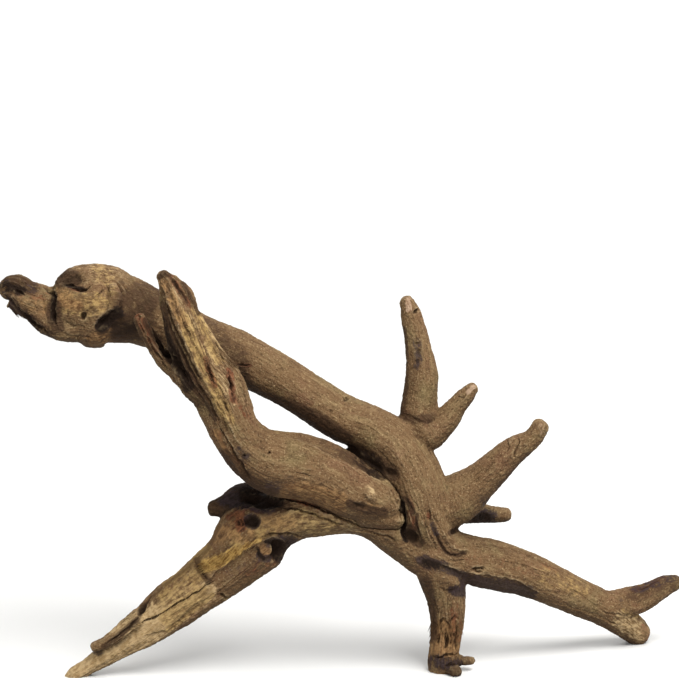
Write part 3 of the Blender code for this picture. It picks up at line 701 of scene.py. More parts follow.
# Limb, middle in pixels, half length and half width in millimetres, slope in degrees, depth.
HOLES = {
    "eye of the burl": ("main", (73, 280), 6.6, 3.4, 0, 1.7),
    "burl pit": ("main", (83, 316), 1.9, 1.5, 60, 1.9),
    "burl pit, shallow end": ("main", (90, 312), 3.0, 1.8, 30, 0.6),
    "mouth of the burl": ("main", (107, 319), 5.8, 2.8, 36, 3.4),
    "mouth, left end": ("main", (99, 326), 2.6, 1.2, 38, 0.9),
    "throat of the burl": ("main", (117, 323), 4.6, 4.0, 50, 1.6),
    "eye of the right leg": ("main", (478, 570), 3.2, 1.5, 3, 1.8),
    "limb knot": ("main", (346, 399.5), 1.5, 1.0, 30, 1.0),
    "limb pock": ("main", (331, 412), 1.3, 0.9, 30, 0.5),
    "snag hole": ("main", (19, 292), 2.2, 1.0, -25, 1.2),
    "notch of the hub": ("main", (455.5, 531), 2.0, 1.1, 25, 1.3),
    "hollow beside the ropes": ("main", (412, 536.5), 4.4, 2.1, -48, 2.2),
    "hollow above the broken limb": ("main", (366, 464.5), 12.0, 4.5, -30, 3.2),
    "hollow, left end": ("main", (350, 452), 7.0, 3.0, -24, 2.0),
    "hollow, right end": ("main", (390, 473), 3.0, 1.9, -30, 1.4),
    "knot of the leg": ("low", (251.5, 521), 4.2, 3.4, 12, 3.0),
    "knot, splintered side": ("low", (241.5, 521.5), 2.8, 2.6, 50, 1.5),
    "plug hollow": ("low", (271, 551), 6.8, 5.2, 18, 3.2),
    "plug hollow, far end": ("low", (278, 550), 5.0, 3.4, 55, 2.4),
    "side of the prong": ("low", (141, 609), 1.6, 1.2, -60, 1.2),
    "dark place over the knot": ("low", (262, 501), 10.0, 3.0, -8, 2.6),
    "pin hole one": ("front", (244, 455.5), 0.8, 0.6, 0, 1.2),
    "pin hole two": ("front", (270.5, 452.5), 0.8, 0.6, 90, 1.2),
    "below the bump": ("front", (361, 506), 4.2, 1.8, -12, 0.8),
    "mottle one": ("tall", (417, 344), 1.4, 0.8, 0, 0.5),
    "mottle two": ("tall", (419, 352), 1.6, 1.1, 80, 0.6),
    "mottle three": ("tall", (417, 362), 1.4, 0.8, 80, 0.5),
    "neck of the stub": ("stub", (484, 517), 3.0, 3.0, 0, 0.8),
    "foot hole": ("foot", (453, 636), 0.9, 1.0, 0, 1.4),
}
# As the holes, but the depth is a height.
LUMPS = {
    "bump": ("front", (370, 494), 4.6, 3.2, -35, 1.2),
    "ring knot": ("front", (300.7, 454.4), 1.5, 1.5, 0, 0.35),
    "burl cheek": ("main", (96, 303), 8.0, 6.0, 50, 0.7),
    "chin of the burl": ("main", (95, 341), 3.4, 2.6, -60, 0.5),
    "tip of the yellow ridge": ("front", (226, 419), 2.6, 1.4, -55, 0.8),
    "knuckle": ("long", (511, 440), 2.6, 1.6, 60, 0.5),
}
# As the holes, but the depth is that of a new flat face, and it takes the place of every other mark.
PLUGS = {
    "plug of the leg": ("low", (265, 551.3), 4.5, 4.5, 10, 0.7),
    "splinter in the knot": ("low", (242.5, 521), 0.6, 2.4, 22, 0.9),
    "second splinter in the knot": ("low", (239, 521.5), 0.5, 2.0, 22, 0.5),
    "kernel in the eye": ("main", (479.5, 570.8), 1.5, 0.6, 0, 0.4),
}
# Splits and holes of the far side. The photograph doesn't show it, so these are plain ones, such as any
# root has. Their lines are where they would be seen through the wood.
FAR_SPLITS = {
    "long check of the upper limb": ("main", 0.9, 1.3, [(186, 322), (212, 336), (245, 358), (282, 378)]),
    "second check of the upper limb": ("main", 0.7, 0.9, [(262, 356), (300, 380), (334, 396),
                                                          (366, 420)]),
    "check behind the burl": ("main", 0.8, 1.1, [(84, 290), (104, 290), (128, 306)]),
    "fold behind the hub": ("main", 1.6, 1.8, [(400, 452), (416, 476), (426, 502), (432, 528)]),
    "second fold behind the hub": ("main", 1.0, 1.2, [(424, 450), (440, 474), (444, 500)]),
    "check of the right leg": ("main", 0.8, 1.0, [(474, 554), (514, 566), (548, 582), (588, 602)]),
    "check of the left leg": ("low", 0.9, 1.3, [(258, 540), (228, 560), (196, 588), (158, 616)]),
    "second check of the left leg": ("low", 0.6, 0.8, [(238, 532), (216, 552), (188, 572)]),
    "check over the arch": ("low", 0.7, 0.9, [(285, 515), (320, 524), (358, 532)]),
    "check of the broken limb": ("front", 0.9, 1.3, [(170, 296), (186, 334), (202, 372), (224, 406)]),
    "check of the bent limb": ("front", 0.8, 1.0, [(246, 440), (285, 456), (328, 480)]),
    "check of the foot": ("foot", 0.8, 1.1, [(442, 586), (440, 612), (444, 642)]),
    "check of the tall prong": ("tall", 0.6, 0.8, [(422, 402), (414, 366), (410, 328)]),
    "check of the long prong": ("long", 0.6, 0.8, [(468, 494), (496, 470), (522, 446)]),
}
FAR_HOLES = {
    "scar of a twig on the upper limb": ("main", (318, 386), 2.8, 1.7, -30, 1.8),
    "scar of a twig on the left leg": ("low", (205, 576), 2.4, 1.6, 40, 1.7),
    "scar of a twig on the hub": ("main", (446, 506), 3.0, 1.9, -60, 2.0),
    "worm hole of the broken limb": ("front", (214, 378), 1.0, 0.9, 0, 1.5),
    "worm hole of the upper limb": ("main", (160, 310), 0.9, 0.9, 0, 1.3),
}
THIN_ENDS = 5.0                # millimetres over which the end of a split thins out
WAVES = ((3.4, 0.55), (1.3, 0.2))   # size and strength, in pixels, of the waves that bend the lines
OWN_SKIN = (1.2, 1.55)         # how far out from its limb a mark is whole, and gone
FACING = (0.05, 0.4)           # how much the skin faces the eye where a mark begins, and where it is whole
HOLE_EDGE = (0.35, 1.1)        # where on its oval a hole is at its deepest, and where it ends
PLUG_EDGE = (0.8, 1.15)        # the same for the flat face of a plug


def wavy(seen, size, strength):
    """The picture's pixels, pushed about in waves of this size, so that straight lines come out crooked."""
    x, y = seen.T
    push_x = np.sin(y / size + 1.3 * np.sin(0.8 * x / size))
    push_y = np.sin(1.1 * x / size + 1.7 * np.sin(0.7 * y / size) + 2)
    return seen + strength * np.stack([push_x, push_y], axis=1)


def line_distance(seen, line):
    """Millimetres to the line, 1 where a point is left of it in the picture, place along it, its length."""
    nearest = np.full(len(seen), np.inf)
    left = np.zeros(len(seen))
    along = np.zeros(len(seen))
    passed = 0.0
    for start, end in zip(np.array(line, float), np.array(line[1:], float)):
        run = end - start
        offset = seen - start
        t = np.clip((offset @ run) / (run @ run), 0, 1)
        distance = np.linalg.norm(offset - t[:, None] * run, axis=1)
        closer = distance < nearest
        nearest = np.where(closer, distance, nearest)
        left = np.where(closer, run[0] * offset[:, 1] - run[1] * offset[:, 0] < 0, left)
        along = np.where(closer, passed + t * np.linalg.norm(run), along)
        passed += np.linalg.norm(run)
    return nearest * PIXEL, left, along * PIXEL, passed * PIXEL


def oval(seen, middle, half_long, half_wide, slope, edge=HOLE_EDGE):
    """1 inside the oval and 0 outside it, with a soft edge. The slope is upwards to the right."""
    turn = math.radians(slope)
    x = (seen[:, 0] - middle[0]) * PIXEL
    y = (middle[1] - seen[:, 1]) * PIXEL
    along = (x * math.cos(turn) + y * math.sin(turn)) / half_long
    across = (y * math.cos(turn) - x * math.sin(turn)) / half_wide
    return 1 - soft_step(np.hypot(along, across), *edge)


def shown(skin, limb, facing=FACING, side=1):
    """1 on the limb's own skin where it faces the eye, or away from it with side -1."""
    return soft_step(side * skin["facing"], *facing) * (1 - soft_step(skin["places"][limb][1], *OWN_SKIN))


def groove(seen, wide, line):
    """1 along the line and 0 beside it, with a width that swells and shrinks and thins out at the ends."""
    distance, _, along, length = line_distance(seen, line)
    thin = soft_step(np.minimum(along, length - along), -0.5, min(THIN_ENDS, 0.4 * length))
    swell = 0.78 + 0.28 * np.sin(1.3 * along + length) * np.sin(0.47 * along + 2 * length)
    wide = wide * swell * (0.35 + 0.65 * thin)
    return (1 - soft_step(distance, 0, wide)) * (0.25 + 0.75 * thin)


def drop(seen, soft, reach, line):
    """1 just left of the line and 0 right of it, and running out to 0 again at its reach."""
    distance, left = line_distance(seen, line)[:2]
    side = np.where(left > 0, distance, -distance)
    return soft_step(side, -soft, soft) * (1 - soft_step(side, soft, reach))


def mark_depth(skin):
    """The depth of all the marks placed on this skin, and the depth of the splits and holes alone, which
    sets the painted shade in them.
    """
    seen = skin["seen"]
    for wave in WAVES:
        seen = wavy(seen, *wave)
    depth = np.zeros(len(seen))
    for side, splits, holes in ((1, SPLITS, HOLES), (-1, FAR_SPLITS, FAR_HOLES)):
        for limb, wide, deep, line in on_skin(skin, splits.values()):
            depth += deep * shown(skin, limb, side=side) * groove(seen, wide, line)
        for limb, *shape, deep in on_skin(skin, holes.values()):
            depth += deep * shown(skin, limb, side=side) * oval(seen, *shape)
    # The splits and holes alone set how much painted shade the marks get.
    mark_shade_depth = depth.copy()
    for limb, wide, height, line in on_skin(skin, ROPES.values()):
        depth -= height * shown(skin, limb) * groove(seen, wide, line)
    for limb, *shape, height in on_skin(skin, LUMPS.values()):
        depth -= height * shown(skin, limb) * oval(seen, *shape)
    for limb, soft, deep, reach, line in on_skin(skin, LEDGES.values()):
        depth += deep * shown(skin, limb) * drop(seen, soft, reach, line)
    for limb, *shape, deep in on_skin(skin, PLUGS.values()):
        plugged = shown(skin, limb) * oval(skin["seen"], *shape, edge=PLUG_EDGE)
        depth += (deep - depth) * plugged
        mark_shade_depth *= 1 - plugged
    return depth, mark_shade_depth


def carve(wood, skin):
    """Presses furrows and marks into the skin, and returns the depth that sets the painted shade in its
    marks.
    """
    depth, mark_shade_depth = mark_depth(skin)
    for furrow in on_skin(skin, FURROWS):
        depth += furrow_depth(skin, *furrow)
    moved = skin["points"] - skin["normals"] * depth[:, None]
    wood.data.vertices.foreach_set("co", moved.ravel())
    wood.data.update()
    return mark_shade_depth


for wood, skin in skins:
    skin["mark_shade_depth"] = carve(wood, skin)
    print(wood.name, "carved; its deepest split or hole, mm:", round(float(skin["mark_shade_depth"].max()), 1))

# %% [markdown]
# ## Which way the grain runs
# Wood grain follows the limb. A noise stretched along one axis of space would run straight through every
# bend, so each point keeps its place in its limb's own straightened space instead. At a fork two limbs
# meet, and their grains have to fade into each other. Limbs that touch are therefore put on different
# channels, and each point says how much it belongs to each of the three. Where a limb leaves its fork,
# its share grows from nothing over its first centimetre or so.

# %% Grain on three channels
CHANNELS = {
    "a": ("main", "front_toe"),
    "b": ("front", "foot", "tall", "long", "second_tip", "knob"),
    "c": ("low", "short", "stub", "upturned", "sliver", "side_toe"),
}
OWN_START = ("main", "front")  # limbs that don't grow out of another
TAKES_OVER = 14.0              # millimetres after a fork by which a limb's own grain has taken over
BLEND = 5.0                    # how quickly one limb's grain gives way to the next
APART = 53.0                   # millimetres between the patterns of two limbs on one channel
HELD_BACK = 3.0                # how much farther out a limb counts at its root, where its fork's grain wins
TINY = 1e-9                    # keeps a share or a length from being nought, since others are divided by it


def grain_attributes(skin):
    """For each channel the place in the nearest limb's straightened space. Then the shares of the channels,
    and the way that the grain runs."""
    count = len(skin["points"])
    coordinates = {}
    shares = []
    along = np.zeros((count, 3))
    for channel, limbs in CHANNELS.items():
        best = np.full(count, BEYOND)
        place = np.zeros((count, 3))
        run = np.tile([1.0, 0.0, 0.0], (count, 1))
        for n, limb in enumerate(limbs):
            if limb not in skin["places"]:
                continue
            here, out, direction = skin["places"][limb]
            rooted = 1 if limb in OWN_START else soft_step(here[:, 0], 0, TAKES_OVER)
            out = out + HELD_BACK * (1 - rooted)
            closer = out < best
            best = np.where(closer, out, best)
            place[closer] = here[closer] + n * APART
            run[closer] = direction[closer]
        coordinates[channel] = place
        shares.append(np.exp(-BLEND * np.minimum(best, BEYOND)))
        along += run * shares[-1][:, None]
    shares = np.array(shares).T + TINY
    along = along / np.maximum(np.linalg.norm(along, axis=1, keepdims=True), TINY)
    return coordinates, shares / shares.sum(axis=1, keepdims=True), along


def store(mesh, name, kind, values):
    """Keeps values on the points of a mesh under a name, for the modifiers and the materials."""
    attribute = mesh.attributes.new(name, kind, "POINT")
    field = "value" if kind == "FLOAT" else "vector"
    attribute.data.foreach_set(field, np.ascontiguousarray(values, dtype=np.float32).ravel())


for wood, skin in skins:
    coordinates, shares, along = grain_attributes(skin)
    for channel, place in coordinates.items():
        store(wood.data, "grain_" + channel, "FLOAT_VECTOR", place)
    store(wood.data, "grain_share", "FLOAT_VECTOR", shares)
    store(wood.data, "along", "FLOAT_VECTOR", along)
    print(wood.name, "mean share of each channel", shares.mean(axis=0).round(2).tolist())

# %% [markdown]
# ## Where rot, stains, breaks and painted shade lie
# The colours of driftwood come from what happened to it: yellow soft rot on the left leg, red-brown wood
# deep in the splits, dark purple-grey water stains round the hub, pale wood where a tip snapped off
# lately. Each is brushed on as strokes along lines of the photograph, with a half width in millimetres.
# Only the amount is kept here. The material later breaks up the soft edges with its own grain, so no
# brush mark shows. The damp brown, the old dirt and some of the stains also paint shade: faces turned from
# the light, undersides, hollows, gaps between limbs, and shadows that one limb casts on another.

# %% Brushed patches
# Limb, half width in millimetres, strength, and the line in pixels.
STROKES = {
    "bleached": [
        # The first two are partly painted light, on the burl's top and on the broken limb's lit face.
        ("main", 7.0, 0.2, [(84, 268), (100, 270), (112, 276)]),
        ("front", 3.6, 0.25, [(174, 290), (188, 318), (206, 350), (222, 378), (238, 400)]),
        ("low", 0.7, 0.9, [(247, 544), (260, 540.5)]),
        ("front", 0.45, 0.9, [(203, 317), (212, 333), (221, 347)]),
        ("low", 8.0, 1.0, [(160, 620), (140, 634), (118, 650), (92, 666), (74, 674)]),
        ("low", 4.4, 1.0, [(207, 592), (190, 604), (172, 616), (158, 626)]),
        ("second_tip", 3.0, 0.5, [(140, 612), (112, 634)]),
        ("main", 4.4, 0.55, [(622, 622), (634, 628), (642, 632)]),
        ("low", 4.0, 0.35, [(186, 590), (170, 602), (158, 612)]),
        ("low", 5.0, 0.35, [(290, 516), (320, 526), (350, 536)]),
        ("front", 1.6, 0.35, [(367, 488), (374, 493)]),
    ],
    "yellow_rot": [
        ("low", 3.0, 1.0, [(204, 566), (212, 563), (221, 560)]),
        ("low", 2.4, 1.0, [(219, 562), (230, 555), (238, 550)]),
        ("low", 1.5, 1.0, [(236, 551), (248, 545)]),
        ("low", 0.9, 1.0, [(247, 544), (260, 540.5)]),
    ],
    "straw": [
        ("front", 3.2, 0.7, [(182, 316), (194, 342), (206, 370), (218, 398), (228, 420)]),
        ("front", 2.0, 0.4, [(168, 294), (178, 316), (190, 340)]),
        ("main", 4.6, 0.3, [(100, 270), (108, 280), (110, 292), (108, 304)]),
        ("main", 5.0, 0.6, [(68, 302), (84, 305), (98, 303)]),
        ("low", 2.4, 0.5, [(206, 548), (188, 566), (166, 584)]),
        ("main", 5.0, 0.3, [(546, 576), (562, 582), (580, 589)]),
        ("main", 2.4, 0.6, [(628, 610), (642, 614)]),
        ("low", 4.0, 0.8, [(200, 594), (184, 606), (168, 618)]),
        ("low", 1.4, 0.8, [(212, 596), (200, 606), (184, 618), (168, 631)]),
        ("front", 2.6, 0.5, [(196, 306), (204, 326), (212, 344), (220, 360)]),
        ("low", 5.0, 0.4, [(200, 572), (184, 584), (164, 600)]),
        ("low", 5.0, 0.5, [(238, 538), (262, 530), (300, 520), (330, 528)]),
    ],
    "red_wood": [
        ("front", 1.6, 0.9, [(230, 371), (232, 384), (234, 400)]),
        ("front", 1.4, 0.8, [(206, 359), (210, 372), (215, 386)]),
        ("front", 1.4, 0.4, [(236, 399), (242, 407), (248, 417)]),
        ("front", 1.6, 0.5, [(172, 275), (180, 291), (190, 306)]),
        ("front", 1.8, 0.35, [(220, 436), (231, 451), (243, 466)]),
        ("sliver", 2.8, 0.6, [(138, 316), (148, 332), (158, 348)]),
        ("main", 2.4, 0.3, [(16, 290), (30, 296), (48, 296)]),
        ("main", 1.0, 0.8, [(69, 286), (78, 289.5)]),
        ("main", 2.0, 0.35, [(405, 500), (411, 508)]),
        ("main", 2.0, 0.6, [(410, 513), (413, 522), (414, 529)]),
        ("main", 0.9, 0.5, [(429, 514), (429, 518)]),
        ("main", 1.4, 0.25, [(540, 562), (556, 570), (552, 575)]),
        ("main", 2.6, 0.2, [(470, 558), (500, 562), (530, 572)]),
        ("main", 0.9, 0.7, [(238, 364.5), (250, 366)]),
        ("low", 2.3, 1.0, [(241, 515), (239, 522), (241, 528)]),
        ("low", 1.6, 0.6, [(228, 517), (238, 511), (252, 508), (262, 512)]),
        ("low", 2.6, 0.3, [(244, 574), (262, 565), (276, 560)]),
        ("low", 1.4, 0.7, [(282, 497), (300, 501), (318, 507)]),
        ("foot", 3.0, 0.4, [(456, 610), (458, 640)]),
        ("upturned", 1.6, 0.6, [(634, 590), (650, 584), (664, 578)]),
        ("main", 2.0, 0.5, [(644, 628), (648, 638)]),
    ],
    # Painted shade, partly damp wood: faces turned from the light, undersides, hollows, shadows of limbs.
    "painted_shade_and_damp": [
        ("front", 4.0, 0.6, [(158, 308), (164, 328), (172, 350), (184, 376), (196, 402)]),
        ("front", 1.2, 0.8, [(162, 316), (174, 342), (186, 367), (198, 393), (214, 421)]),
        ("front", 1.4, 0.9, [(159, 277), (164, 272), (169, 274)]),
        ("front", 3.8, 0.8, [(224, 458), (238, 474), (254, 486), (270, 493)]),
        ("front", 1.4, 0.7, [(184, 282), (192, 296), (200, 312)]),
        ("front", 0.7, 0.6, [(168, 273), (174, 281), (181, 292), (188, 303)]),
        ("front", 2.0, 0.9, [(350, 504), (366, 510), (384, 512)]),
        ("main", 4.6, 0.7, [(4, 280), (16, 281), (30, 285)]),
        ("main", 2.8, 0.8, [(8, 302), (20, 316), (38, 325)]),
        ("main", 3.2, 0.9, [(61, 281), (66, 277), (74, 277)]),
        ("main", 1.2, 0.8, [(66, 284), (76, 287), (84, 289)]),
        ("main", 3.2, 1.0, [(54, 306), (53, 316), (57, 326)]),
        ("main", 2.6, 1.0, [(30, 320), (40, 328), (50, 335)]),
        ("main", 3.2, 1.0, [(102, 328), (110, 321), (118, 312)]),
        ("main", 4.0, 0.9, [(118, 334), (130, 332), (142, 332), (154, 340)]),
        ("main", 4.6, 0.8, [(124, 322), (136, 318), (150, 304)]),
        # painted shade below the ridge of the burl
        ("main", 7.5, 0.62, [(128, 304), (140, 297), (152, 293)]),
        ("main", 1.6, 0.4, [(121, 282), (126, 292)]),
        ("main", 3.4, 0.6, [(149, 304), (148, 312), (150, 322)]),
        ("main", 4.2, 0.9, [(224, 380), (250, 396), (275, 404), (300, 412), (325, 426), (345, 440)]),
        # painted shadow that the broken limb casts on the upper limb
        ("main", 6.0, 0.5, [(208, 330), (222, 344), (240, 361)]),
        # painted shade along the back of the bent limb, under the upper limb
        ("front", 4.0, 0.25, [(304, 436), (320, 441), (334, 446)]),
        ("front", 3.6, 0.42, [(326, 443), (344, 450.5), (358, 458)]),
        ("front", 3.0, 0.62, [(346, 451.5), (360, 459.5), (374, 469)]),
        ("main", 3.0, 0.8, [(240, 370), (250, 388), (262, 398)]),
        ("main", 4.2, 0.8, [(340, 443), (362, 458), (380, 469), (390, 474)]),
        ("main", 1.8, 1.0, [(400, 500), (403, 512), (403, 526), (406, 540)]),
        ("main", 2.4, 1.0, [(408, 530), (413, 538), (419, 543)]),
        ("saddle", 4.0, 0.6, [(376, 469), (390, 475)]),
        ("low", 2.4, 0.8, [(280, 541), (290, 546), (287, 556)]),
        ("main", 1.4, 0.8, [(405, 499), (409, 505), (413, 513)]),
        ("main", 0.9, 0.8, [(417, 515), (416, 527), (418, 535), (422, 543)]),
        ("main", 0.9, 0.7, [(434, 529), (438, 536), (441, 544), (447, 553), (458, 556), (466, 553)]),
        ("main", 1.2, 0.8, [(451, 533), (457, 530)]),
        ("main", 2.4, 0.7, [(388, 484), (396, 498)]),
        ("low", 5.0, 1.0, [(230, 492), (252, 496), (280, 502)]),
        ("low", 0.9, 0.4, [(219, 526), (208, 548), (196, 560), (176, 576), (156, 592), (143, 606)]),
        ("low", 2.4, 1.0, [(278, 559), (283, 552), (291, 544)]),
        ("upturned", 5.4, 0.5, [(636, 594), (656, 587), (674, 579)]),
        ("low", 1.6, 0.6, [(196, 560), (199, 569), (209, 583)]),
        ("low", 1.6, 0.8, [(143, 606), (136, 621), (122, 634)]),
        ("second_tip", 1.6, 0.7, [(137, 620), (116, 638), (104, 647)]),
        ("front_toe", 4.0, 0.7, [(452, 666), (460, 674)]),
        ("side_toe", 3.0, 0.4, [(452, 660), (474, 660)]),
        # painted shade on the knob, under the broken limb
        ("knob", 9.0, 1.0, [(208, 507), (222, 503), (240, 496)]),
        ("knob", 5.0, 1.0, [(240, 490), (262, 494)]),
        ("foot", 3.6, 0.8, [(425, 584), (429, 606), (429, 636)]),
        ("foot", 4.0, 0.5, [(434, 662), (452, 668), (470, 664)]),
        ("foot", 2.0, 0.6, [(452, 590), (462, 588)]),
        ("tall", 1.8, 0.6, [(402, 412), (404, 390), (405, 360), (403, 330)]),
        ("tall", 2.4, 0.6, [(402, 414), (416, 420), (434, 418)]),
        ("sliver", 2.4, 0.9, [(148, 322), (160, 342), (174, 364)]),
        ("sliver", 1.2, 0.7, [(131, 316), (138, 330), (150, 350)]),
        ("stub", 3.6, 0.9, [(476, 518), (488, 519)]),
        ("long", 1.8, 0.5, [(500, 486), (516, 472), (530, 456)]),
    ],
    "fresh_break": [
        ("tall", 1.3, 1.0, [(408, 300), (409, 310)]),
        ("short", 1.1, 0.8, [(468, 392), (474, 386)]),
        ("long", 1.8, 0.25, [(540, 424), (543, 432)]),
    ],
    # Purple-grey water stains, and painted shade in the burl's mouth, on the knob and under the legs.
    "stain_and_shade": [
        ("main", 3.4, 1.0, [(422, 563), (432, 566), (444, 570)]),
        ("main", 1.8, 0.9, [(440, 569), (452, 573), (464, 575)]),
        ("main", 3.4, 0.8, [(468, 582), (490, 586), (512, 590), (530, 595)]),
        ("main", 3.2, 0.7, [(626, 601), (638, 604)]),
        ("main", 3.0, 0.35, [(4, 284), (12, 290), (24, 290), (36, 288)]),
        ("main", 3.0, 0.4, [(4, 296), (16, 310), (30, 322)]),
        ("main", 3.0, 0.9, [(102, 325), (110, 320), (118, 314)]),
        ("main", 1.6, 0.6, [(433, 526), (437, 534)]),
        ("low", 3.2, 0.8, [(250, 520), (253, 522)]),
        ("low", 4.4, 0.8, [(266, 506), (246, 500), (226, 498)]),
        ("low", 3.0, 0.7, [(270, 543), (280, 541), (292, 541)]),
        ("low", 1.6, 0.8, [(259, 556), (263, 560), (270, 560)]),
        ("low", 2.4, 0.3, [(228, 576), (246, 568), (258, 560)]),
        ("knob", 5.0, 0.6, [(240, 490), (262, 494)]),
        ("foot", 2.6, 0.9, [(455, 592), (462, 592)]),
        ("foot", 3.6, 0.5, [(434, 662), (452, 666), (470, 662)]),
        ("front", 2.6, 0.5, [(240, 452), (246, 458)]),
        ("front", 3.6, 0.3, [(270, 486), (290, 484)]),
        ("tall", 2.0, 0.5, [(417, 342), (419, 356), (417, 366)]),
        ("stub", 3.6, 0.7, [(478, 516), (490, 516)]),
        ("long", 2.2, 0.5, [(484, 500), (490, 505)]),
        ("upturned", 2.4, 0.4, [(636, 590), (656, 583), (674, 576)]),
        ("low", 2.0, 0.8, [(96, 650), (99, 653)]),
    ],
    "tan_splinter": [
        ("main", 4.0, 0.3, [(26, 300), (36, 306), (46, 308)]),
        ("low", 2.8, 0.8, [(264, 550), (266, 552)]),
        ("low", 4.4, 0.6, [(216, 536), (232, 532), (246, 534)]),
        ("front", 5.0, 1.0, [(292, 493), (314, 496), (336, 503)]),
        ("main", 2.6, 0.9, [(58, 299), (66, 303), (78, 306)]),
        ("foot", 4.6, 1.0, [(440, 630), (441, 650)]),
        ("foot", 3.6, 1.0, [(452, 630), (452, 650)]),
        ("front", 2.4, 0.5, [(164, 284), (174, 304), (184, 324)]),
        ("low", 2.4, 0.5, [(238, 516), (232, 526)]),
        ("main", 2.6, 0.5, [(60, 290), (70, 300)]),
        ("low", 4.0, 0.4, [(262, 520), (290, 522)]),
        ("main", 3.4, 0.9, [(95, 340), (104, 337), (114, 335)]),
        ("front", 2.8, 0.5, [(370, 508), (382, 513)]),
        ("front", 1.6, 0.7, [(214, 434), (228, 454), (242, 474)]),
    ],
    # Painted deep shade, partly dirt: crevices, the burl's mouth and the gaps between limbs.
    "deep_shade_and_dirt": [
        ("front", 1.6, 0.4, [(358, 458), (366, 463), (376, 470)]),
        ("front", 1.4, 0.7, [(372, 470), (384, 477)]),
        ("front", 2.4, 0.9, [(154, 318), (162, 338), (174, 362), (188, 388)]),
        ("main", 2.2, 0.9, [(426, 564), (437, 567)]),
        ("main", 2.4, 1.0, [(101, 327), (108, 322), (116, 316)]),
        ("main", 3.4, 0.6, [(118, 330), (130, 328), (142, 326)]),
        # painted shade in the gap between the broken limb and the upper limb
        ("saddle", 6.0, 1.0, [(345, 457), (357, 462), (369, 468)]),
        ("sliver", 1.8, 0.9, [(164, 350), (176, 368), (188, 388)]),
        ("main", 2.8, 0.9, [(345, 450), (360, 462), (372, 470)]),
        ("main", 1.4, 1.0, [(401, 502), (403, 512), (403, 526), (406, 540)]),
        ("main", 2.8, 1.0, [(105, 323), (111, 319), (117, 313)]),
        ("main", 0.8, 0.9, [(66, 284), (75, 287), (82, 289)]),
        ("main", 1.4, 0.8, [(54, 294), (53, 306), (53, 318)]),
        ("main", 2.4, 0.7, [(6, 286), (14, 290), (22, 290)]),
        ("main", 1.8, 0.9, [(26, 318), (38, 328), (48, 334)]),
        ("low", 2.0, 1.0, [(279, 558), (282, 551), (286, 546)]),
        ("low", 0.9, 0.9, [(266, 542), (273, 544), (277, 551)]),
        ("low", 0.9, 0.9, [(258, 549), (259, 555), (264, 560)]),
        ("low", 3.6, 0.9, [(246, 496), (262, 500), (276, 501)]),
        ("stub", 2.6, 0.9, [(478, 519), (486, 519)]),
        ("knob", 3.6, 0.8, [(246, 492), (262, 495)]),
    ],
    "fibrous": [
        ("low", 2.6, 1.0, [(205, 566), (221, 560), (238, 550), (258, 542)]),
        ("low", 1.4, 0.8, [(236, 514), (236, 526)]),
        ("low", 1.2, 0.6, [(210, 590), (196, 600)]),
        ("front", 1.2, 1.0, [(222, 348), (230, 360), (236, 362)]),
        ("front", 1.8, 0.4, [(160, 274), (172, 278), (186, 284)]),
        ("foot", 3.0, 0.7, [(436, 628), (446, 626), (456, 628)]),
        ("main", 2.4, 0.4, [(4, 292), (14, 304), (26, 318)]),
    ],
}
# The same for the far side, where they would be seen through the wood.
FAR_STROKES = {
    "bleached": [
        ("main", 4.0, 0.4, [(214, 330), (262, 356), (330, 394)]),
        ("low", 5.0, 0.8, [(160, 610), (136, 632), (100, 656)]),
    ],
    "straw": [
        ("low", 4.0, 0.6, [(230, 556), (206, 580), (184, 596)]),
        ("front", 4.0, 0.4, [(198, 346), (220, 396)]),
    ],
    "red_wood": [
        ("front", 2.6, 0.5, [(172, 296), (190, 338)]),
        ("main", 2.6, 0.4, [(470, 554), (520, 568)]),
    ],
    "painted_shade_and_damp": [
        ("main", 3.6, 0.9, [(402, 450), (422, 500), (430, 530)]),
        ("low", 4.6, 0.8, [(300, 520), (390, 540)]),
        ("main", 3.0, 0.7, [(312, 384), (326, 390)]),
        ("foot", 3.0, 0.8, [(436, 660), (452, 664)]),
        ("tall", 2.0, 0.7, [(404, 414), (434, 418)]),
    ],
    "stain_and_shade": [
        ("low", 4.0, 0.6, [(226, 534), (250, 520)]),
        ("main", 3.6, 0.6, [(426, 558), (456, 568)]),
    ],
    "deep_shade_and_dirt": [
        ("main", 1.8, 0.8, [(404, 458), (418, 482), (430, 520)]),
        ("low", 1.4, 0.8, [(203, 576), (208, 575)]),
    ],
}
STROKE_EDGE = (0.45, 1.5)      # where on its half width a stroke begins to fade, and where it ends
STROKE_FACING = (-0.15, 0.1)   # strokes reach farther round a limb than carved marks


def brush(skin, strokes, side=1):
    """How much of one finish each point of the skin has, from 0 to 1."""
    amount = np.zeros(len(skin["seen"]))
    full, end = STROKE_EDGE
    for limb, wide, strength, line in on_skin(skin, strokes):
        distance = line_distance(skin["seen"], line)[0]
        inside = 1 - soft_step(distance, full * wide, end * wide)
        amount = np.maximum(amount, strength * shown(skin, limb, STROKE_FACING, side) * inside)
    return amount


for wood, skin in skins:
    for name, strokes in STROKES.items():
        far = brush(skin, FAR_STROKES.get(name, []), side=-1)
        store(wood.data, name, "FLOAT", np.maximum(brush(skin, strokes), far))
    print(wood.name, "has", ", ".join(STROKES))

# %% [markdown]
# ## How rough each stretch is
# The upper limb was rolled smooth, the broken limb is all ridges. One number for each point says how deep
# the grain is there, in millimetres. It's read from a short table of stretches along the limbs, and
# everything outside them keeps a fine water-worn grain.

# %% Depth of the grain
FINE_GRAIN = 0.16              # the depth outside the stretches
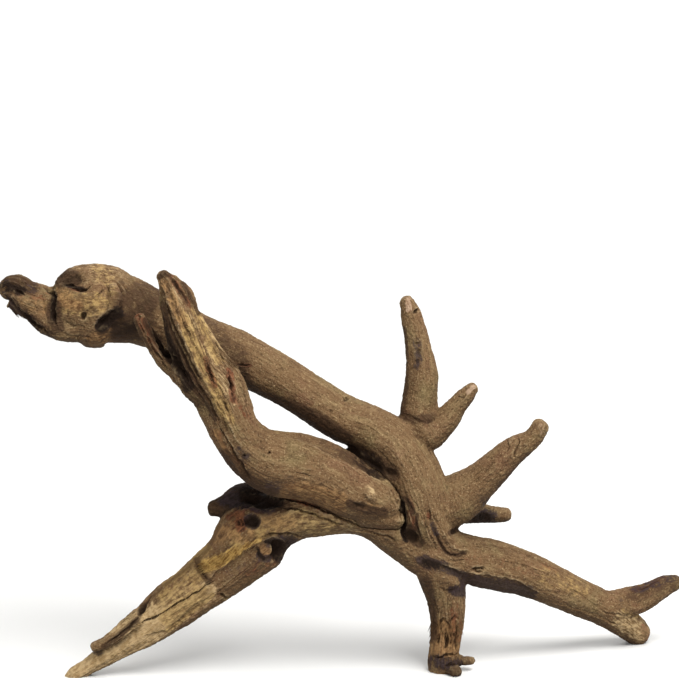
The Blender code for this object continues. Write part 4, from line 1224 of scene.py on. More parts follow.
# Limb, from and to along it in millimetres, depth of the grain.
ROUGH_STRETCHES = [
    ("front", 0, 78, 0.48),
    ("front", 78, 100, 0.32),
    ("sliver", 0, 60, 0.55),
    ("low", 62, 190, 0.27),
    ("main", 0, 28, 0.35),
    ("foot", 20, 60, 0.45),
    ("second_tip", 8, 40, 0.35),
    ("main", 205, 262, 0.28),
]
ROUGH_ENDS = (6, 8)            # millimetres over which a rough stretch begins and runs out
ROUGH_SKIN = (1.15, 1.5)       # how far out from its limb the grain is at its roughest, and fine again


def grain_depth(skin):
    """Millimetres between the ridges and the furrows of the grain, at each point."""
    depth = np.full(len(skin["points"]), FINE_GRAIN)
    for limb, start, end, deep in on_skin(skin, ROUGH_STRETCHES):
        place, out, _ = skin["places"][limb]
        near = 1 - soft_step(out, *ROUGH_SKIN)
        depth = depth + (deep - FINE_GRAIN) * stretch(place[:, 0], start, end, *ROUGH_ENDS) * near
    return depth


for wood, skin in skins:
    depth = grain_depth(skin)
    store(wood.data, "grain_depth", "FLOAT", depth)
    print(wood.name, "grain depth", round(float(depth.min()), 2), "to", round(float(depth.max()), 2), "mm")

# %% [markdown]
# ## One helper for node trees
# Materials and Geometry Nodes are both trees of nodes. One small function adds any node, sets its own
# properties, and fills its inputs with a value or with another node's output. Inputs go by name, or by
# number where one node has several of the same name. Two shorter ones add the maths nodes, which are the
# most common.

# %% Adding a node
def add(tree, kind, inputs=None, **settings):
    """A new node. Each input is a plain value, or a socket that it's linked to."""
    made = tree.nodes.new(kind)
    for name, value in settings.items():
        setattr(made, name, value)
    for name, value in (inputs or {}).items():
        if isinstance(value, bpy.types.NodeSocket):
            tree.links.new(value, made.inputs[name])
        else:
            made.inputs[name].default_value = value
    return made


def calculate(tree, operation, *values):
    """A maths node's result."""
    return add(tree, "ShaderNodeMath", dict(enumerate(values)), operation=operation).outputs[0]


def combine(tree, operation, *values):
    """A vector maths node's result, of two vectors."""
    return add(tree, "ShaderNodeVectorMath", dict(enumerate(values)), operation=operation).outputs[0]


def hex_colour(text):
    """An sRGB colour written as six hexadecimal digits, as the linear colour that nodes use."""
    parts = [int(text[n:n + 2], 16) / 255 for n in (0, 2, 4)]
    return (*[part / 12.92 if part <= 0.04045 else ((part + 0.055) / 1.055) ** 2.4 for part in parts], 1)


print("weathered tan in linear light:", [round(part, 3) for part in hex_colour("8b7355")])

# %% [markdown]
# ## Grain for the materials
# This node group is the grain's pattern: noise read in the straightened space of the limbs, squeezed
# across and stretched along, once for each channel and mixed by the shares. Its width is a real one in
# millimetres. A wave texture would also give lines, but even ones, as on a sawn board. Split and worn
# wood has lines of every length, so noise is the better start.

# %% The grain group
NOISE_ROUGHNESS = 0.6          # how strong the finer detail of each pattern is


def grain_group():
    """A shader node group: a streak's width in millimetres and its stretch in, a value round 0.5 out."""
    tree = bpy.data.node_groups.new("grain", "ShaderNodeTree")
    for name, value in (("Width", 1.0), ("Stretch", 12.0), ("Detail", 3.0), ("Seed", 0.0)):
        socket = tree.interface.new_socket(name, in_out="INPUT", socket_type="NodeSocketFloat")
        socket.default_value = value
    tree.interface.new_socket("Value", in_out="OUTPUT", socket_type="NodeSocketFloat")
    given = add(tree, "NodeGroupInput").outputs
    shrink = calculate(tree, "DIVIDE", 1.0, given["Stretch"])
    squeeze = add(tree, "ShaderNodeCombineXYZ", {"X": shrink, "Y": 1.0, "Z": 1.0}).outputs[0]
    scale = calculate(tree, "DIVIDE", 1.0, given["Width"])
    share = add(tree, "ShaderNodeAttribute", attribute_name="grain_share").outputs["Vector"]
    parts = add(tree, "ShaderNodeSeparateXYZ", {0: share}).outputs
    total = 0.0
    for part, channel in zip(parts, CHANNELS):
        place = add(tree, "ShaderNodeAttribute", attribute_name="grain_" + channel).outputs["Vector"]
        noise = add(tree, "ShaderNodeTexNoise", {
            "Vector": combine(tree, "MULTIPLY", place, squeeze), "W": given["Seed"], "Scale": scale,
            "Detail": given["Detail"], "Roughness": NOISE_ROUGHNESS,
        }, noise_dimensions="4D").outputs[0]
        total = calculate(tree, "MULTIPLY_ADD", noise, part, total)
    add(tree, "NodeGroupOutput", {"Value": total})
    return tree


grain = grain_group()
print("grain group:", len(grain.nodes), "nodes")

# %% [markdown]
# ## The finish of weathered root wood
# The wood is bare: no bark, no varnish. Water took the soft wood between the fibres and the sun greyed the
# top. First come the tones of the wood: broad streaks along the grain, slow blotches of olive and pink
# that ignore it, small mottling, fibres along the grain, and grit. Then fine checks, and paler crests,
# partly worn wood and partly painted highlight. Then the brushed patches, each broken up by the grain,
# some of them partly painted shade. Last comes painted shade: darker hollows, darker splits and holes by
# their depth, and a darker underside, with a painted highlight on the crests once more. It is matt all
# over. Fibres finer than two pixels of the picture would not show in it, so the finest are 0.8 mm wide.

# %% Tones of the wood
# Patterns that follow the grain: width in millimetres, stretch, detail, seed.
ALONG_GRAIN = {
    "streaks": (4.0, 5.0, 4.0, 1.0),
    "short fibres": (0.8, 5.0, 3.0, 2.0),
    "long fibres": (0.9, 18.0, 3.0, 2.0),
    "checks": (2.2, 14.0, 2.0, 3.0),
}
# Patterns that ignore the grain: size in millimetres, detail, seed.
IN_SPACE = {
    "blotches": (16.0, 3.0, 4.0),
    "mottling": (2.4, 5.0, 5.0),
    "grit": (0.8, 3.0, 6.0),
}
ROUGH_FROM = (0.20, 0.45)      # depths of the grain at which the fibres are all short, and all long
# What is laid on, in order: the pattern, where on its scale this starts and is full, colour, how much.
TONES = [
    ("streaks", 0.50, 0.68, "927b57", 0.60),
    ("streaks", 0.48, 0.32, "5c442f", 0.65),
    ("blotches", 0.52, 0.68, "7e704b", 0.45),
    ("blotches", 0.46, 0.32, "7a5741", 0.45),
    ("mottling", 0.56, 0.72, "9e865f", 0.45),
    ("mottling", 0.44, 0.30, "4d3927", 0.55),
    ("fibres", 0.55, 0.72, "aa9168", 0.55),
    ("fibres", 0.46, 0.30, "402e1b", 0.62),
    ("grit", 0.56, 0.68, "b39a72", 0.65),
    ("grit", 0.44, 0.32, "3a2a1c", 0.80),
]
# The brushed patches: the attribute, its light tone, its dark tone, how much of it.
PATCHES = [
    ("bleached", "cfb285", "a0845a", 0.82),
    ("yellow_rot", "dcb468", "7a552b", 0.90),
    ("straw", "b5965f", "7c5f3c", 0.72),
    ("tan_splinter", "a17c52", "64452c", 0.80),
    ("red_wood", "7a4630", "3c2018", 0.75),
    # The damp brown, the stain and the old dirt are partly painted shade and painted shadow.
    ("painted_shade_and_damp", "4a3526", "241811", 0.85),
    ("fresh_break", "b79b81", "8a6a50", 0.85),
    ("stain_and_shade", "3a2f32", "1c181b", 0.85),
    ("deep_shade_and_dirt", "281c14", "130c08", 0.96),
]
BASE = "765b3f"
# Fine checks: half their width on the pattern's scale, how much of them shows on smooth wood, and how much
# more on rough wood.
CHECK_WIDTH = 0.022
CHECK_SMOOTH = 0.22
CHECK_ROUGH = 0.35
CHECK_TONE = "34261b"
# What is laid on the bare wood, and after the patches on them too. The crests are made paler, partly as
# wear and partly as painted highlight; the rest, laid last, is painted shade. Hollow is in millimetres, and
# less than 0 on a crest.
WORN_AND_LIT_CRESTS = [
    ("hollow", -0.08, -0.45, "b8a17c", 0.38),
]
PAINTED_SHADE_AND_HIGHLIGHT = [
    ("hollow", -0.10, -0.50, "a08a68", 0.16),   # painted highlight on the crests again, over the patches
    ("hollow", 0.05, 0.60, "2c1e14", 0.70),     # painted shade in the hollows
    ("mark_shade_depth", 0.5, 3.0, "22170f", 0.75),         # painted shade in the marks, by their depth
    ("up", 0.15, -0.70, "261a11", 0.74),        # painted shade on the underside, by the way the surface faces
]
SPECKLE = (0.7, 1.3, 0.7)      # specks that add nothing to a patch, specks that add most, and how much
PATCH_EDGE = (0.45, 1.1)       # brushed amount with specks at which a patch begins, and is full
PATCH_FAINT = (0.0, 0.3)       # brushed amount below which specks alone can't make a patch
PATCH_TONES = (0.80, 1.16)     # where on the specks' scale a patch has its dark tone, and its light one


def remap(tree, value, start, full, high=1.0, low=0.0):
    """The low value at start, the high one at full, and smooth between them."""
    return add(tree, "ShaderNodeMapRange", {0: value, 1: start, 2: full, 3: low, 4: high},
               interpolation_type="SMOOTHSTEP").outputs[0]


def attribute(tree, name):
    """A number that the skin keeps under this name."""
    return add(tree, "ShaderNodeAttribute", attribute_name=name).outputs["Fac"]


def lay(tree, mask, below, colour):
    """A colour laid over what is below, by the mask."""
    return add(tree, "ShaderNodeMix", {0: mask, 6: below, 7: colour}, data_type="RGBA").outputs[2]


def lay_tones(tree, measures, below, tones):
    """Tones laid over what is below, one after the other, each by its own measure."""
    for measure, start, full, tone, amount in tones:
        below = lay(tree, remap(tree, measures[measure], start, full, amount), below, hex_colour(tone))
    return below


def surface_patterns(tree):
    """The patterns that all the wood shares, by name."""
    patterns = {}
    for name, numbers in ALONG_GRAIN.items():
        inputs = dict(zip(("Width", "Stretch", "Detail", "Seed"), numbers))
        patterns[name] = add(tree, "ShaderNodeGroup", inputs, node_tree=grain).outputs[0]
    space = add(tree, "ShaderNodeTexCoord").outputs["Object"]
    for name, (size, detail, seed) in IN_SPACE.items():
        patterns[name] = add(tree, "ShaderNodeTexNoise", {
            "Vector": space, "W": seed, "Scale": 1 / (size * MM), "Detail": detail,
            "Roughness": NOISE_ROUGHNESS,
        }, noise_dimensions="4D").outputs[0]
    patterns["rough"] = remap(tree, attribute(tree, "grain_depth"), *ROUGH_FROM)
    patterns["fibres"] = add(tree, "ShaderNodeMix", {
        0: patterns["rough"], 2: patterns["short fibres"], 3: patterns["long fibres"],
    }, data_type="FLOAT").outputs[0]
    return patterns


def check_mask(tree, patterns):
    """How dark a check is at each point. Checks run where their pattern crosses its middle."""
    away = calculate(tree, "ABSOLUTE", calculate(tree, "SUBTRACT", patterns["checks"], 0.5))
    opened = calculate(tree, "MULTIPLY_ADD", patterns["rough"], CHECK_ROUGH, CHECK_SMOOTH)
    return calculate(tree, "MULTIPLY", remap(tree, away, CHECK_WIDTH, 0.0), opened)


def wood_colour(tree, patterns):
    """The colour of the wood at each point, built up from the tones, the patches, and painted shade and
    highlight: darker hollows, marks and underside, paler crests.
    """
    normal = add(tree, "ShaderNodeNewGeometry").outputs["Normal"]
    # Which way the surface faces, for the painted shade on the underside.
    up = add(tree, "ShaderNodeSeparateXYZ", {0: normal}).outputs["Z"]
    measures = {**patterns, "hollow": attribute(tree, "hollow"), "mark_shade_depth": attribute(tree, "mark_shade_depth"), "up": up}
    colour = lay_tones(tree, measures, hex_colour(BASE), TONES)
    colour = lay(tree, check_mask(tree, patterns), colour, hex_colour(CHECK_TONE))
    colour = lay_tones(tree, measures, colour, WORN_AND_LIT_CRESTS)
    specks = calculate(tree, "ADD", patterns["mottling"], patterns["fibres"])
    broken_up = remap(tree, specks, *SPECKLE)
    for name, light, dark, amount in PATCHES:
        brushed = attribute(tree, name)
        uneven = calculate(tree, "ADD", brushed, broken_up)
        inside = remap(tree, uneven, *PATCH_EDGE)
        present = calculate(tree, "MULTIPLY", inside, remap(tree, brushed, *PATCH_FAINT))
        mask = calculate(tree, "MULTIPLY", present, amount)
        tone = lay(tree, remap(tree, specks, *PATCH_TONES), hex_colour(dark), hex_colour(light))
        colour = lay(tree, mask, colour, tone)
    return lay_tones(tree, measures, colour, PAINTED_SHADE_AND_HIGHLIGHT)


def wood_finish(name, roughness, relief):
    """Bare wood: matt, with fine fibres and grit in relief. The relief is in millimetres."""
    material = bpy.data.materials.new(name)
    material.use_nodes = True
    tree = material.node_tree
    shader = tree.nodes["Principled BSDF"]
    patterns = surface_patterns(tree)
    tree.links.new(wood_colour(tree, patterns), shader.inputs["Base Color"])
    rough = remap(tree, patterns["fibres"], 0.3, 0.7, roughness - UNEVEN_SHEEN, roughness + UNEVEN_SHEEN)
    tree.links.new(rough, shader.inputs["Roughness"])
    height = calculate(tree, "ADD", patterns["fibres"], patterns["grit"])
    bump = add(tree, "ShaderNodeBump", {"Strength": 1.0, "Distance": relief * MM, "Height": height})
    tree.links.new(bump.outputs[0], shader.inputs["Normal"])
    shader.inputs["IOR"].default_value = WOOD_IOR
    shader.inputs["Specular IOR Level"].default_value = WOOD_SHEEN
    return material


UNEVEN_SHEEN = 0.06            # how far the fibres move the roughness up and down
WOOD_IOR = 1.45
WOOD_SHEEN = 0.12              # bare dry wood hardly shines
FINISHES = {
    "weathered_wood": wood_finish("weathered_root_wood", 0.78, 0.56),
    "splintered_wood": wood_finish("splintered_heartwood", 0.82, 0.58),
    "rotted_wood": wood_finish("rotted_sapwood", 0.84, 0.60),
}
print("finishes:", ", ".join(material.name for material in FINISHES.values()))

# %% [markdown]
# ## Weather
# Carving one by one gives the big marks. The small relief follows a rule, so Geometry Nodes make it: the
# grain is read on the same three channels and moves each point in or out by its own depth, and slow lumps
# keep the limbs from looking turned. Then the tree measures how hollow each point lies, by comparing it
# with a blurred copy of the surface, and keeps that for the finish, which paints shade into the hollows
# and makes the crests paler, partly as wear and partly as painted highlight.

# %% Weathering with Geometry Nodes
# Sizes, heights and depths in millimetres. The relief is a factor on the depth of the grain.
WEATHER = {
    "Grain width": 2.0, "Grain stretch": 22.0, "Grain relief": 1.0, "Lump size": 13.0, "Lump height": 1.6,
    "Pit size": 2.6, "Pit depth": 0.12, "Crumb size": 1.5, "Crumb height": 0.9, "Seed": 7.0,
}
RIDGE_GAIN = 6.0               # spreads the noise over the height of a ridge
FINE_WIDTH = 0.6               # a second, finer set of ridges: its width, as a part of the broad ones'
FINE_STRETCH = 2.5             # its stretch, as so many of theirs
FINE_HEIGHT = 0.6              # its height, as a part of theirs
PIT_LEVEL = 0.42               # noise below this makes a pit
PIT_GAIN = 10.0                # spreads the noise over the depth of a pit
HOLLOW_BLUR = 12               # rounds of blur of the copy that the surface is compared with


def geometry_tree(name, numbers):
    """A Geometry Nodes tree with inputs for wood, for these numbers and for a finish, and wood as output."""
    tree = bpy.data.node_groups.new(name, "GeometryNodeTree")
    tree.interface.new_socket("Wood", in_out="INPUT", socket_type="NodeSocketGeometry")
    for label, value in numbers.items():
        kind = "NodeSocketInt" if isinstance(value, int) else "NodeSocketFloat"
        tree.interface.new_socket(label, in_out="INPUT", socket_type=kind).default_value = value
    tree.interface.new_socket("Finish", in_out="INPUT", socket_type="NodeSocketMaterial")
    tree.interface.new_socket("Wood", in_out="OUTPUT", socket_type="NodeSocketGeometry")
    return tree


def put_out(tree, wood, finish):
    """The end of a Geometry Nodes tree: real geometry with its material."""
    real = add(tree, "GeometryNodeRealizeInstances", {0: wood}).outputs[0]
    done = add(tree, "GeometryNodeSetMaterial", {"Geometry": real, "Material": finish}).outputs[0]
    add(tree, "NodeGroupOutput", {"Wood": done})


def named(tree, name, kind="FLOAT"):
    """What the mesh keeps under this name."""
    return add(tree, "GeometryNodeInputNamedAttribute", {"Name": name}, data_type=kind).outputs[0]


def weather_tree():
    """Grain in relief, slow lumps, small pits and crumbs, and a measure of the hollows."""
    tree = geometry_tree("weather", WEATHER)
    given = add(tree, "NodeGroupInput").outputs

    def math_node(operation, *values):
        return calculate(tree, operation, *values)

    def noise(vector, size, detail):
        return add(tree, "ShaderNodeTexNoise", {
            "Vector": vector, "W": given["Seed"], "Scale": math_node("DIVIDE", 1.0, size), "Detail": detail,
        }, noise_dimensions="4D").outputs[0]

    parts = add(tree, "ShaderNodeSeparateXYZ", {0: named(tree, "grain_share", "FLOAT_VECTOR")}).outputs

    def ridges(width, stretch):
        """Ridges of this width along the grain: -1 in the furrows between them, about 1 on the highest."""
        shrink = math_node("DIVIDE", 1.0, stretch)
        squeeze = add(tree, "ShaderNodeCombineXYZ", {"X": shrink, "Y": 1.0, "Z": 1.0}).outputs[0]
        pattern = 0.0
        for part, channel in zip(parts, CHANNELS):
            squeezed = combine(tree, "MULTIPLY", named(tree, "grain_" + channel, "FLOAT_VECTOR"), squeeze)
            away = math_node("ABSOLUTE", math_node("SUBTRACT", noise(squeezed, width, 3.0), 0.5))
            pattern = math_node("MULTIPLY_ADD", away, part, pattern)
        return math_node("SUBTRACT", math_node("MULTIPLY", pattern, RIDGE_GAIN), 1.0)

    relief = math_node("MULTIPLY", named(tree, "grain_depth"), given["Grain relief"])
    broad = math_node("MULTIPLY", ridges(given["Grain width"], given["Grain stretch"]), relief)
    rough = math_node("MAXIMUM", math_node("SUBTRACT", relief, FINE_GRAIN), 0.0)
    fine_width = math_node("MULTIPLY", given["Grain width"], FINE_WIDTH)
    fine_stretch = math_node("MULTIPLY", given["Grain stretch"], FINE_STRETCH)
    fine = math_node("MULTIPLY", ridges(fine_width, fine_stretch), rough)
    grain_move = math_node("MULTIPLY_ADD", fine, FINE_HEIGHT, broad)
    place = add(tree, "GeometryNodeInputPosition").outputs[0]
    lump_move = math_node("MULTIPLY", math_node("SUBTRACT", noise(place, given["Lump size"], 3.0), 0.5),
                          given["Lump height"])
    pits = math_node("MINIMUM", math_node("SUBTRACT", noise(place, given["Pit size"], 2.0), PIT_LEVEL), 0.0)
    pit_move = math_node("MULTIPLY", math_node("MULTIPLY", pits, PIT_GAIN), given["Pit depth"])
    crumbs = math_node("SUBTRACT", noise(place, given["Crumb size"], 3.0), 0.5)
    crumb_move = math_node("MULTIPLY", crumbs, given["Crumb height"])
    large_move = math_node("ADD", grain_move, lump_move)
    total = math_node("ADD", large_move, math_node("ADD", pit_move, crumb_move))
    normal = add(tree, "GeometryNodeInputNormal").outputs[0]
    offset = add(tree, "ShaderNodeVectorMath", {0: normal, "Scale": total}, operation="SCALE").outputs[0]
    moved = add(tree, "GeometryNodeSetPosition", {"Geometry": given["Wood"], "Offset": offset}).outputs[0]
    blurred = add(tree, "GeometryNodeBlurAttribute", {"Value": place, "Iterations": HOLLOW_BLUR},
                  data_type="FLOAT_VECTOR").outputs[0]
    sunk = combine(tree, "SUBTRACT", blurred, place)
    hollow = add(tree, "ShaderNodeVectorMath", {0: sunk, 1: normal},
                 operation="DOT_PRODUCT").outputs["Value"]
    kept = add(tree, "GeometryNodeStoreNamedAttribute", {
        "Geometry": moved, "Name": "hollow", "Value": hollow,
    }, data_type="FLOAT", domain="POINT").outputs[0]
    put_out(tree, kept, given["Finish"])
    return tree


def run_tree(thing, tree, values):
    """Puts a tree on an object as a modifier, sets its inputs, and keeps only the mesh that it makes."""
    modifier = thing.modifiers.new(tree.name, "NODES")
    modifier.node_group = tree
    for socket in tree.interface.items_tree:
        if socket.in_out == "INPUT" and socket.name in values:
            modifier[socket.identifier] = values[socket.name]
    apply_modifiers(thing)


weather = weather_tree()
for wood, skin in skins:
    # The depth of the splits and holes, kept for the painted shade in them.
    store(wood.data, "mark_shade_depth", "FLOAT", skin["mark_shade_depth"])
    run_tree(wood, weather, {**WEATHER, "Finish": FINISHES["weathered_wood"]})
    print(wood.name, "weathered:", len(wood.data.vertices), "points")

# %% [markdown]
# ## Two bodies that press on each other
# The broken limb lies on the trunk along a dark crevice. In the mesh the two still run into each other,
# so a copy of the broken limb, swollen by the width of the crevice, is cut out of the root. The Manifold
# solver is fast enough for meshes this fine. Both are closed skins, which it asks for.

# %% The crevice
CREVICE = 0.3                  # millimetres


def cut_crevice():
    """Takes the swollen broken limb out of the root."""
    cutter = new_object(broken.data.copy(), "crevice")
    swell = cutter.modifiers.new("swell", "DISPLACE")
    swell.strength = CREVICE
    swell.mid_level = 0
    apply_modifiers(cutter)
    taken = root.modifiers.new("crevice", "BOOLEAN")
    taken.operation = "DIFFERENCE"
    taken.solver = "MANIFOLD"
    taken.object = cutter
    apply_modifiers(root)
    bpy.data.objects.remove(cutter)


cut_crevice()
print("root with its crevice:", len(root.data.polygons), "faces")

# %% [markdown]
# ## One piece for each branch
# The solids are split at the forks, so the surface is too, with the same planes. A Boolean would open a
# visible slit there. Bisecting only the faces near the plane adds a clean row of edges, and both sides
# keep the very same points and grain, so the fork looks grown. The row is then opened and both sides are
# closed with a flat cap. The ground is cut in the same way, and the feet get flat soles. Points and edges
# are kept in dictionaries and not in sets, because a set has a new order in each run, and the splinters
# below would move.

# %% Splitting at the forks
# The piece beyond, the middle of the cut (across, up, back), the way it faces in the drawing, its radius.
FORKS = [
    ("upper_limb", (158.4, 115.6, 14.5), (-0.92, 0.40), 13.4),
    ("left_leg", (120.0, 68.0, 5), (-1.0, -0.10), 24.0),
    ("right_leg", (219.0, 52.8, 17), (0.95, -0.30), 14.5),
    ("centre_foot", (200.6, 36.0, 8), (0.0, -1.0), 12.5),
    ("tall_prong", (189.2, 124.8, 18), (-0.20, 0.98), 9.6),
    ("short_prong", (203.6, 120.9, 11.5), (0.66, 0.75), 6.6),
    ("long_prong", (212.6, 86.2, 11.5), (0.76, 0.65), 12.6),
    ("back_stub", (218.4, 73.9, 31), (0.92, -0.10), 6.8),
]
CUT_THICKNESS = 2.0            # millimetres on both sides of a fork's plane in which faces are cut
SOLE = 1.0                     # the same for the ground
CUT_SNAP = 1e-5                # millimetres from a cut in which a point is taken to lie on it


def closed_rows(edges):
    """Groups edges that hang together, and keeps the groups that run round without an end."""
    left = dict.fromkeys(edges)
    rows = []
    while left:
        row = [left.popitem()[0]]
        for edge in row:
            for vertex in edge.verts:
                for other in vertex.link_edges:
                    if other in left:
                        del left[other]
                        row.append(other)
        counts = {}
        for edge in row:
            for vertex in edge.verts:
                counts[vertex] = counts.get(vertex, 0) + 1
        if all(count == 2 for count in counts.values()):
            rows.append(row)
    return rows


def cap(bm, row, facing):
    """Closes a row of open edges with a flat cap that faces out."""
    made = bmesh.ops.triangle_fill(bm, edges=row, use_beauty=True, use_dissolve=False, normal=facing)
    faces = [thing for thing in made["geom"] if isinstance(thing, bmesh.types.BMFace)]
    for face in faces:
        face.smooth = False
        if face.normal.dot(facing) < 0:
            face.normal_flip()
    for edge in row:
        edge.smooth = False


def with_borders(faces):
    """The faces with their edges and points, each once, always in the same order."""
    return list(dict.fromkeys([thing for face in faces for thing in (face, *face.edges, *face.verts)]))


def cut_plane(bm, middle, facing, radius):
    """Adds a row of edges where the plane crosses the faces near the middle, and returns the cut edges."""
    near = []
    for face in bm.faces:
        offset = face.calc_center_median() - middle
        height = offset.dot(facing)
        if abs(height) < CUT_THICKNESS and (offset - facing * height).length < radius:
            near.append(face)
    made = bmesh.ops.bisect_plane(
        bm, geom=with_borders(near), dist=CUT_SNAP, plane_co=middle, plane_no=facing)
    return [thing for thing in made["geom_cut"] if isinstance(thing, bmesh.types.BMEdge)]


def open_fork(bm, name, middle, facing, radius):
    """Parts the wood along the plane of a fork, and caps both sides."""
    here = from_drawing(*middle)
    ahead = (from_drawing(middle[0] + facing[0], middle[1] + facing[1], middle[2]) - here).normalized()
    cut = cut_plane(bm, here, ahead, radius)
    row = max(closed_rows(cut), key=len)
    split = bmesh.ops.split_edges(bm, edges=row)["edges"]
    open_edges = [edge for edge in [*split, *row] if edge.is_valid and edge.is_boundary]
    for side in closed_rows(open_edges):
        face = side[0].link_faces[0]
        beyond = (face.calc_center_median() - here).dot(ahead) > 0
        cap(bm, side, -ahead if beyond else ahead)
    print("fork", name, "opened along", len(row), "edges of", len(cut))


def stand(bm):
    """Takes away what lies below the ground and closes the soles."""
    up = Vector((0, 0, 1))
    low = with_borders([face for face in bm.faces if min(vertex.co.z for vertex in face.verts) < SOLE])
    bmesh.ops.bisect_plane(
        bm, geom=low, dist=CUT_SNAP, plane_co=(0, 0, 0), plane_no=up, clear_inner=True)
    rows = closed_rows([edge for edge in bm.edges if edge.is_boundary])
    for row in rows:
        cap(bm, row, -up)
    print("soles:", len(rows))


def split_root():
    """The root's mesh, standing on its soles and parted at its forks."""
    bm = bmesh.new()
    bm.from_mesh(root.data)
    stand(bm)
    for fork in FORKS:
        open_fork(bm, *fork)
    return bm


parted = split_root()
print("open edges left:", sum(edge.is_boundary for edge in parted.edges))

# %% [markdown]
# ## Naming the pieces
# Once the forks are open, the root falls into loose parts. Each is given the name of the solid whose
# middle is nearest, which is safer than counting on the order in which they're found.

# %% Loose parts become pieces
SLOTS = {
    "trunk": "weathered_wood",
    "upper_limb": "weathered_wood",
    "front_limb": "splintered_wood",
    "left_leg": "rotted_wood",
    "right_leg": "weathered_wood",
    "centre_foot": "splintered_wood",
    "tall_prong": "weathered_wood",
    "short_prong": "weathered_wood",
    "long_prong": "weathered_wood",
    "back_stub": "weathered_wood",
}
CRUMB = 400                    # a loose part with fewer points than this is dust from the cutting


def solid_middle(name):
    """The middle of a solid's points, in millimetres, with the drawing's origin."""
    points = np.array([vertex.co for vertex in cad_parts[name].data.vertices])
    return Vector(points.mean(axis=0)) / MM + Vector((*BOX_MIDDLE, 0))


def loose_parts(bm):
    """The groups of points that hang together."""
    left = dict.fromkeys(bm.verts)
    parts = []
    while left:
        found = [left.popitem()[0]]
        for vertex in found:
            for edge in vertex.link_edges:
                for other in edge.verts:
                    if other in left:
                        del left[other]
                        found.append(other)
        parts.append(found)
    return parts


def part_object(bm, found):
    """The name of the solid that these points of the mesh stand for, and an object that holds only them."""
    kept = {vertex.index for vertex in found}
    part = bm.copy()
    others = [vertex for vertex in part.verts if vertex.index not in kept]
    bmesh.ops.delete(part, geom=others, context="VERTS")
    middle = sum((vertex.co for vertex in part.verts), Vector()) / len(part.verts)
    name = min(middles, key=lambda name: (middles[name] - middle).length)
    mesh = bpy.data.meshes.new(name + "_wood")
    part.to_mesh(mesh)
    part.free()
    return name, new_object(mesh, name + "_wood")


middles = {name: solid_middle(name) for name in SLOTS if name != "front_limb"}
parted.verts.index_update()
pieces = {}
for found in loose_parts(parted):
    if len(found) > CRUMB:
        name, piece = part_object(parted, found)
        pieces[name] = piece
parted.free()
bpy.data.objects.remove(root)
broken.name = "front_limb_wood"
pieces["front_limb"] = broken
print({name: len(piece.data.polygons) for name, piece in sorted(pieces.items())})

# %% [markdown]
# ## Loose fibres
# Rotten and freshly split wood is furred with fibres that stand off it. Hair would be the usual way, but
# hair doesn't survive an export. Here Geometry Nodes strew small tapered splinters over the skin, only
# where the fibrous patches lie. Each one lies along its limb, lifts a little, and takes its colour from
# the skin below, because its points keep what the skin knows of its grain and stains.

# %% Splinters with Geometry Nodes
# Millimetres. The lift is how far a splinter leans out of the grain, where 1 is halfway to upright.
SPLINTERS = {"Splinters each square mm": 1.6, "Length": 3.2, "Thickness": 0.17, "Lift": 0.25, "Seed": 5}
SPLINTER_SIDES = 5
SPLINTER_TIP = 0.02            # the radius of its tip in millimetres
SPLINTER_SIZES = (0.4, 1.3)    # the smallest and the largest, of the size above
SPLINTER_JITTER = 0.22         # how far a splinter's aim strays, where the grain's own length is 1


def splinter_tree():
    """Small splinters on the fibrous patches, joined to the wood."""
    tree = geometry_tree("splinters", SPLINTERS)
    given = add(tree, "NodeGroupInput").outputs
    strewn = calculate(tree, "MULTIPLY", named(tree, "fibrous"), given["Splinters each square mm"])
    scatter = add(tree, "GeometryNodeDistributePointsOnFaces", {
        "Mesh": given["Wood"], "Density": strewn, "Seed": given["Seed"],
    }, distribute_method="RANDOM")
    splinter = add(tree, "GeometryNodeMeshCone", {
        "Vertices": SPLINTER_SIDES, "Radius Top": SPLINTER_TIP, "Radius Bottom": given["Thickness"],
        "Depth": given["Length"],
    }, fill_type="TRIANGLE_FAN")
    jitter = add(tree, "FunctionNodeRandomValue", {
        "Min": (-SPLINTER_JITTER,) * 3, "Max": (SPLINTER_JITTER,) * 3, "Seed": given["Seed"],
    }, data_type="FLOAT_VECTOR").outputs[0]
    lifted = add(tree, "ShaderNodeVectorMath", {0: scatter.outputs["Normal"], "Scale": given["Lift"]},
                 operation="SCALE").outputs[0]
    aim = combine(tree, "ADD", named(tree, "along", "FLOAT_VECTOR"), lifted)
    aim = combine(tree, "ADD", aim, jitter)
    turn = add(tree, "FunctionNodeAlignRotationToVector", {"Vector": aim}, axis="Z").outputs[0]
    smallest, largest = SPLINTER_SIZES
    size = add(tree, "FunctionNodeRandomValue", {2: smallest, 3: largest, "Seed": given["Seed"]},
               data_type="FLOAT").outputs[1]
    placed = add(tree, "GeometryNodeInstanceOnPoints", {
        "Points": scatter.outputs["Points"], "Instance": splinter.outputs["Mesh"],
        "Rotation": turn, "Scale": size,
    }).outputs[0]
    joined = add(tree, "GeometryNodeJoinGeometry")
    tree.links.new(placed, joined.inputs[0])
    tree.links.new(given["Wood"], joined.inputs[0])
    put_out(tree, joined.outputs[0], given["Finish"])
    return tree


splinters = splinter_tree()
for name, piece in pieces.items():
    run_tree(piece, splinters, {**SPLINTERS, "Finish": FINISHES[SLOTS[name]]})
print({name: len(piece.data.polygons) for name, piece in sorted(pieces.items())})

# %% [markdown]
# ## Into the frame
# All the work so far was in millimetres, with the drawing's own origin. Each piece is now shrunk to
# metres and moved, in its mesh, to where its solid is, so that its object stays at the origin. Then it
# rides on the body and stands for its solid, which is hidden.

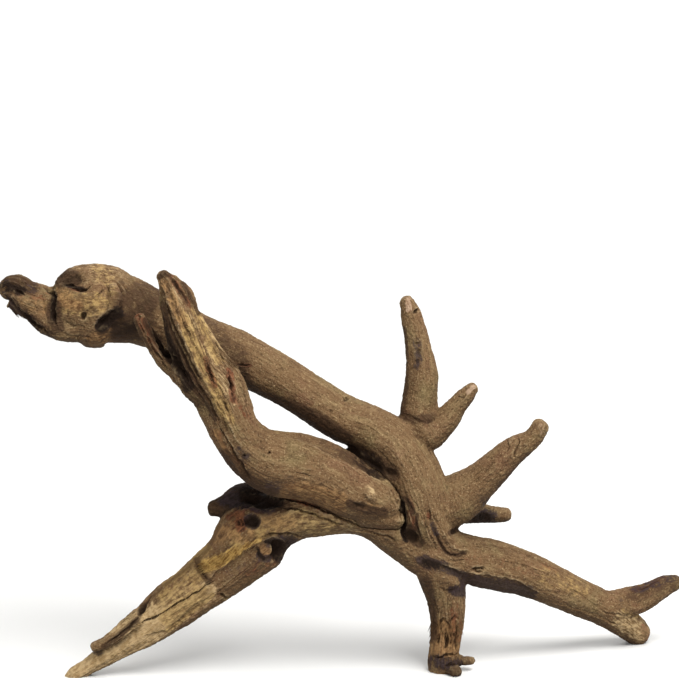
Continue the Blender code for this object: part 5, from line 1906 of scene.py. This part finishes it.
# %% Pieces take their solids' places
to_frame = Matrix.Scale(MM, 4) @ Matrix.Translation((-BOX_MIDDLE[0], -BOX_MIDDLE[1], 0))
for name, piece in pieces.items():
    piece.data.transform(to_frame)
    piece.data.update()
    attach(piece, "root")
    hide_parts(name)
print("largest piece:", max(sum(len(face.vertices) - 2 for face in piece.data.polygons)
                            for piece in pieces.values()), "triangles")

# %% [markdown]
# ## A plain place to stand
# The photograph is cut out on white. A pale floor and a pale sky come near it and still show how the root
# stands. The light is one wide soft box above and a little in front, as over a packing table, with weak
# light from all sides, so the undersides stay dark, as they are in the photograph.

# %% Floor and light
FLOOR = 12.0                   # metres across
floor_mesh = bpy.data.meshes.new("floor")
bm = bmesh.new()
bmesh.ops.create_grid(bm, x_segments=1, y_segments=1, size=FLOOR / 2)
bm.to_mesh(floor_mesh)
bm.free()
floor = new_object(floor_mesh, "floor")
paint = bpy.data.materials.new("matt_white_paper")
paint.use_nodes = True
paint.node_tree.nodes["Principled BSDF"].inputs["Base Color"].default_value = hex_colour("f0efec")
paint.node_tree.nodes["Principled BSDF"].inputs["Roughness"].default_value = 0.9
floor_mesh.materials.append(paint)


def soft_box(name, place, aim_at, size, power):
    """A square area light that faces a point. Places are in metres."""
    light = bpy.data.lights.new(name, "AREA")
    light.size = size
    light.energy = power
    box = bpy.data.objects.new(name, light)
    bpy.context.scene.collection.objects.link(box)
    box.location = place
    box.rotation_euler = (Vector(aim_at) - Vector(place)).to_track_quat("-Z", "Y").to_euler()


soft_box("over_the_table", (0.38, -0.42, 1.25), (0, 0, 0.08), 0.8, 21)
soft_box("from_the_front", (0.3, -1.5, 0.5), (0, 0, 0.08), 1.0, 3.5)
soft_box("behind_the_table", (0, 2.2, 1.6), (0, 2.2, 0), 2.4, 40)
sky = bpy.context.scene.world or bpy.data.worlds.new("sky")
bpy.context.scene.world = sky
sky.use_nodes = True
sky.node_tree.nodes["Background"].inputs["Color"].default_value = hex_colour("f4f6f8")
sky.node_tree.nodes["Background"].inputs["Strength"].default_value = 0.38
bpy.context.scene.view_settings.view_transform = "Standard"
